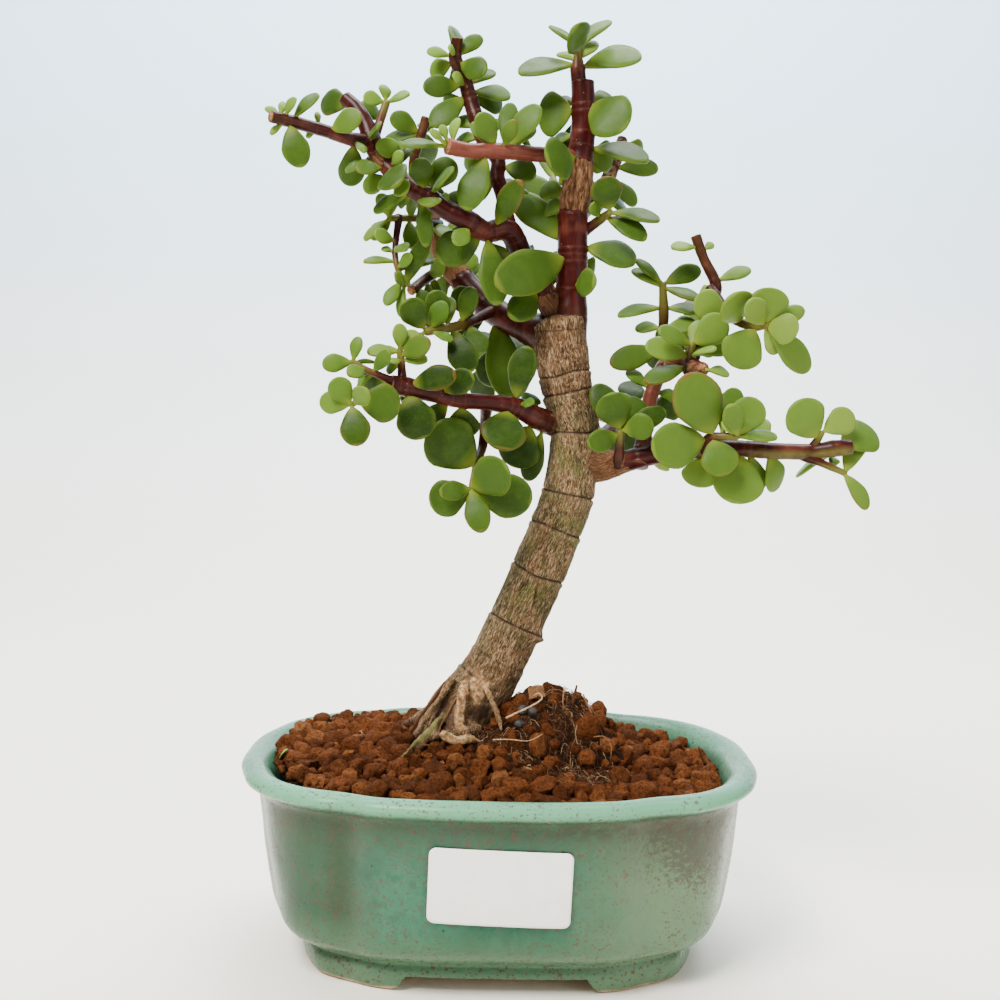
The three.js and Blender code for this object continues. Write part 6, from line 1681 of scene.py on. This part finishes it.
def make_root_ball(material):
    levels, sides = BALL_GRID
    angles = np.linspace(0, 2 * np.pi, sides, endpoint=False)
    rings = []
    for share in np.linspace(0, BALL_TOP, levels):
        spread = math.sqrt(1 - share ** BALL_SLOPE)
        x = BALL_X + BALL_HALF_X * spread * np.cos(angles)
        y = BALL_HALF_Y * spread * np.sin(angles)
        z = np.full(sides, BALL_FOOT + (BALL_CROWN - BALL_LOWER - BALL_FOOT) * share)
        rings.append(np.column_stack([x, y, z]))
    flat = np.vstack(rings)
    outward = flat - [BALL_X, 0, BALL_FOOT]
    outward /= np.linalg.norm(outward, axis=1)[:, None]
    lift = 1.3 * rumple(flat, 7, 3) + 0.5 * rumple(flat, 1.8, 3)
    flat = flat + outward * lift[:, None] * smoothstep(46, 54, flat[:, 2])[:, None]
    piece = mesh_object("old_root_mat", flat, loft_faces(levels, sides), material)
    return finished(piece, "old_roots", "root_ball")


FINE_ROOT_SEED = 31
FINE_ROOTS = 1800
ROOTS_ON_FIBRE = 0.9  # share of the hairs that lie on the fibrous patches
STRAND_SIDES, HAIR_SIDES = 9, 3
# Thicker strands seen from the front: route points and a radius, then a tone from dark to pale
SURFACE_ROOTS = [
    ([(1.6, -14, 70.9), (5, -14.5, 72.8), (9, -14.2, 74.7), (12, -13, 76.6), (11.2, -12, 78.0),
      (9.4, -12, 77.2)], 0.34, 0.95),
    ([(-2, -20, 66), (3, -22, 66.6), (8, -22.5, 66.4), (12, -21, 68)], 0.18, 0.95),
    ([(62, -2, 55), (60.5, -3, 58.2), (59.5, -4, 61)], 0.5, 0.5),
    ([(21.2, -7, 73.5), (21.8, -7, 76.5), (22.5, -7, 79.6)], 0.6, 0.45),
    ([(-16.5, -6, 79.5), (-20.5, -8, 74), (-24, -9.5, 69.5), (-26.5, -10, 65)], 0.6, 0.4),
    ([(-13.5, -10, 75), (-15.5, -12.5, 71.5), (-17.5, -13.5, 68), (-18, -15, 65)], 0.35, 0.55),
    ([(15.5, -5.5, 78.4), (15.3, -8, 75.5), (15.8, -10.5, 71.5), (15, -12, 68)], 0.3, 0.5),
    ([(18.8, -5, 78), (18.4, -8, 74.8), (18.9, -11, 70.5)], 0.24, 0.8),
    ([(24.5, -5.5, 76.6), (26.3, -7.5, 72.5), (28.8, -9, 68.5), (30.5, -10, 64.5)], 0.28, 0.7),
    ([(27, -17, 66.5), (30, -17.5, 66.8), (32, -18.5, 64.5), (31.8, -20.5, 61)], 0.2, 0.75),
]


def random_root(rng):
    """A curly hair on the bed, most of them on the fibrous patches."""
    areas = np.array([radius ** 2 for *_, radius in FIBRE_PATCHES])
    if rng.random() < ROOTS_ON_FIBRE:
        px, py, radius = FIBRE_PATCHES[int(rng.choice(len(FIBRE_PATCHES), p=areas / areas.sum()))]
        reach = 1.1 * radius * math.sqrt(rng.random())
        angle = 2 * math.pi * rng.random()
        x, y = px + reach * math.cos(angle), py + reach * math.sin(angle)
    else:
        x, y = -8 + 20 * rng.normal(), 14 * rng.normal()
    heading, turn, step = 2 * math.pi * rng.random(), 1.6 * (rng.random() - 0.5), 0.5 + 0.7 * rng.random()
    route, lift = [], -0.6
    for _ in range(int(rng.integers(5, 11))):
        if not in_the_pot(x, y, 55, 7):
            break
        route.append((x, y, surface_height(x, y) + lift))
        lift = float(np.clip(lift + 1.3 * (rng.random() - 0.38), -0.3, 2.2))
        heading += turn + 1.2 * (rng.random() - 0.5)
        x, y = x + step * math.cos(heading), y + step * math.sin(heading)
    if len(route) < 4:
        return None
    return route, 0.05 + 0.11 * rng.random() ** 2.5, rng.random() ** 2.6, HAIR_SIDES


def make_fine_roots(material):
    rng = np.random.default_rng(FINE_ROOT_SEED)
    routes = [(*row, STRAND_SIDES) for row in SURFACE_ROOTS]
    routes += [route for route in (random_root(rng) for _ in range(FINE_ROOTS)) if route]
    points, faces, tints = [], [], []
    for route, radius, tone, sides in routes:
        centres = curve_points(route, 2 if sides == HAIR_SIDES else 3)
        size = radius * (1 - 0.5 * np.linspace(0, 1, len(centres)))
        rings, _ = tube(centres, size, sides)
        faces.extend(loft_faces(len(rings), sides, len(points)))
        points.extend(rings.reshape(-1, 3))
        tints.extend([tone] * (len(rings) * sides))
    piece = mesh_object("fine_roots", points, faces, material, {"tint": tints})
    return finished(piece, "old_roots", "root_ball")


# ------------------------------------------------------------------ things that lie on the bed

CRUMB_SEED, CRUMB_PLACE, CRUMB_SIZE, CRUMB_TINT = 3, (10.5, -8.5, 77.6), 3.4, 0.74
SCRAP_ROUTE = [(-64.5, -14, 56.5), (-63.5, -15, 59.0), (-61.8, -16.5, 61.2)]
SCRAP_SIDES, SCRAP_HALF_WIDTH, SCRAP_HALF_THICKNESS = 12, 2.3, 0.35
SCRAP_MARKS = {"tint": 0.9, "young": 0.7, "under": 0, "base": 0, "rim": 0, "blush": 0}
PELLET_SEED = 5


def make_crumb(material):
    """A tan cube of feed."""
    rng = np.random.default_rng(CRUMB_SEED)
    shape, faces = icosphere(3)
    shape = np.clip(shape * 2.2, -1, 1) * CRUMB_SIZE / 2
    shape *= (1 + 0.08 * rumple(shape, 1.2, 3))[:, None]
    turn = np.linalg.qr(rng.normal(size=(3, 3)))[0]
    tints = {"tint": [CRUMB_TINT] * len(shape)}
    crumb = mesh_object("tan_crumb", shape @ turn + CRUMB_PLACE, faces, material, tints)
    return finished(crumb, "old_roots", "root_ball")


def make_scrap(material):
    """A scrap of leaf that stands in the soil."""
    centres = curve_points(SCRAP_ROUTE, 6)
    angles = np.linspace(0, 2 * np.pi, SCRAP_SIDES, endpoint=False)
    rings = []
    for share, centre in zip(np.linspace(0, 1, len(centres)), centres):
        half = SCRAP_HALF_WIDTH * math.sin(math.pi * min(0.97, 0.08 + 0.9 * share)) ** 0.6
        across, curl = half * np.cos(angles), 0.5 * abs(np.cos(angles)) * half * 0.4
        rings.append(centre + np.column_stack([SCRAP_HALF_THICKNESS * np.sin(angles), across, curl]))
    marks = {key: [value] * (len(rings) * SCRAP_SIDES) for key, value in SCRAP_MARKS.items()}
    faces = loft_faces(len(rings), SCRAP_SIDES)
    return finished(mesh_object("leaf_scrap", np.vstack(rings), faces, material, marks), "foliage", "soil")


def make_pellets(material):
    rng = np.random.default_rng(PELLET_SEED)
    sphere, faces = icosphere(3)
    for number in range(1, PELLETS + 1):
        shape = sphere * PELLET_RADIUS * (0.93 + 0.14 * rng.random(3))
        shape *= (1 + 0.07 * rumple(sphere + 9 * number, 0.7, 3))[:, None]
        low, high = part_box(f"feed_pellet_{number}")
        points = shape + ((np.array(low) + np.array(high)) / 2 - ORIGIN) / MM
        finished(mesh_object(f"pellet_{number}", points, faces, material), "feed", f"feed_pellet_{number}")


# ------------------------------------------------------------------ floor, light and camera

# The backdrop in millimetres: its half width, the floor's front edge, the bend and the top
STAGE_HALF_WIDTH, STAGE_FRONT, BEND_Y, BEND_RADIUS, STAGE_TOP = 1500, -900, 650, 350, (1000, 1100)
STAGE_SINK = 0.05  # how far the floor lies under the pot's foot
STAGE_RISE = 480  # height over which the backdrop turns from cream to pale blue
# Area lights: name, place and aim in metres, size, power, colour
ABOUT_THE_TREE = (0, 0, 0.12)
LIGHTS = [
    ("key", (-0.4, -0.6, 0.95), ABOUT_THE_TREE, (0.4, 0.4), 29, (1, 0.97, 0.92)),
    ("fill", (0.75, -0.7, 0.5), ABOUT_THE_TREE, (0.6, 0.8), 5, (1, 0.99, 0.97)),
    ("top", (0.1, 0.25, 1.0), ABOUT_THE_TREE, (0.6, 0.5), 9, (1, 0.99, 0.97)),
    ("backdrop_wash", (0, 0.35, 1.15), (0, 0.95, 0.35), (1.4, 0.3), 40, (0.92, 0.97, 1)),
]
CAMERA_PLACE = (-1.2, -394, 157.6)  # millimetres from the pot's middle
CAMERA_PITCH, CAMERA_ROLL = 3.47, -0.96  # degrees
CAMERA_LENS = 47.52


def make_stage():
    """A plain pale floor that curves up into a backdrop."""
    paint = Paint("studio_paper", Roughness=0.95)
    low = paint.ramp(paint.noise(900, detail=2), (0.3, (0.88, 0.83, 0.73)), (0.7, (0.9, 0.855, 0.77)))
    rise = paint.times(paint.height(paint.place), 1 / (STAGE_RISE * MM), clamp=True)
    paint.set("Base Color", paint.mix(rise, low, (0.6, 0.79, 0.94)))
    turns = np.linspace(0, math.pi / 2, 25)
    bend = [(BEND_Y + BEND_RADIUS * math.sin(t), BEND_RADIUS - BEND_RADIUS * math.cos(t)) for t in turns]
    profile = [(STAGE_FRONT, 0), *bend, STAGE_TOP]
    points = [(x, y, z - STAGE_SINK) for y, z in profile for x in (-STAGE_HALF_WIDTH, STAGE_HALF_WIDTH)]
    faces = [(2 * row, 2 * row + 1, 2 * row + 3, 2 * row + 2) for row in range(len(profile) - 1)]
    mesh_object("studio_floor", points, faces, paint.material)


def area_light(name, place, aim, size, power, colour):
    light = bpy.data.lights.new(name, "AREA")
    light.shape = "RECTANGLE"
    light.size, light.size_y = size
    light.energy = power
    light.color = colour
    lamp = bpy.data.objects.new(name, light)
    lamp.location = Vector(place)
    lamp.rotation_euler = (Vector(aim) - Vector(place)).to_track_quat("-Z", "Y").to_euler()
    bpy.context.scene.collection.objects.link(lamp)


def make_lights():
    world = bpy.data.worlds.new("studio_air")
    world.use_nodes = True
    background = world.node_tree.nodes["Background"]
    background.inputs["Color"].default_value = (0.97, 0.98, 1.0, 1)
    background.inputs["Strength"].default_value = 0.33
    bpy.context.scene.world = world
    for row in LIGHTS:
        area_light(*row)


def make_camera():
    pitch, roll = math.radians(CAMERA_PITCH), math.radians(CAMERA_ROLL)
    right = (math.cos(roll), -math.sin(roll) * math.sin(pitch), -math.sin(roll) * math.cos(pitch))
    down = (-math.sin(roll), -math.cos(roll) * math.sin(pitch), -math.cos(roll) * math.cos(pitch))
    forward = (0, math.cos(pitch), -math.sin(pitch))
    data = bpy.data.cameras.new("camera")
    data.lens = CAMERA_LENS
    data.sensor_width = 36
    data.clip_start, data.clip_end = 0.01, 10
    camera = bpy.data.objects.new("camera", data)
    turn = Matrix([[right[i], -down[i], -forward[i]] for i in range(3)])
    camera.matrix_world = Matrix.Translation(Vector(ORIGIN) + Vector(CAMERA_PLACE) * MM) @ turn.to_4x4()
    bpy.context.scene.collection.objects.link(camera)
    bpy.context.scene.camera = camera


def paint_screens(material):
    """The two screens keep their solids and get only their material."""
    for name in ("drain_screen_left", "drain_screen_right"):
        for slot in bpy.data.objects[name].material_slots:
            slot.material = material


def make_leafy_shoots(leaf_skin, stem_skin):
    for shoot in SHOOTS:
        shoot["samples"] = stem_samples(shoot["stem"])
    leaves = place_leaves()
    draw = draws_from(FAR_SEED + 1)
    for node in dict.fromkeys(shoot["node"] for shoot in SHOOTS):
        blades = [leaf for leaf in leaves if leaf["node"] == node]
        make_stems(node, [shoot for shoot in SHOOTS if shoot["node"] == node], blades, stem_skin, draw)
        if blades:
            make_leaves(node, blades, leaf_skin, draw)


def main():
    make_camera()
    make_stage()
    make_lights()
    make_pot(glaze_material())
    make_label(paper_material())
    paint_screens(screen_material())
    make_soil(dirt_material())
    make_granules(granule_material())
    make_root_ball(root_mat_material())
    fine_root = fine_root_material()
    make_fine_roots(fine_root)
    make_pellets(pellet_material())
    make_trunk(bark_material())
    leaf_skin = leaf_material()
    make_crumb(fine_root)
    make_scrap(leaf_skin)
    make_leafy_shoots(leaf_skin, stem_material())


main()
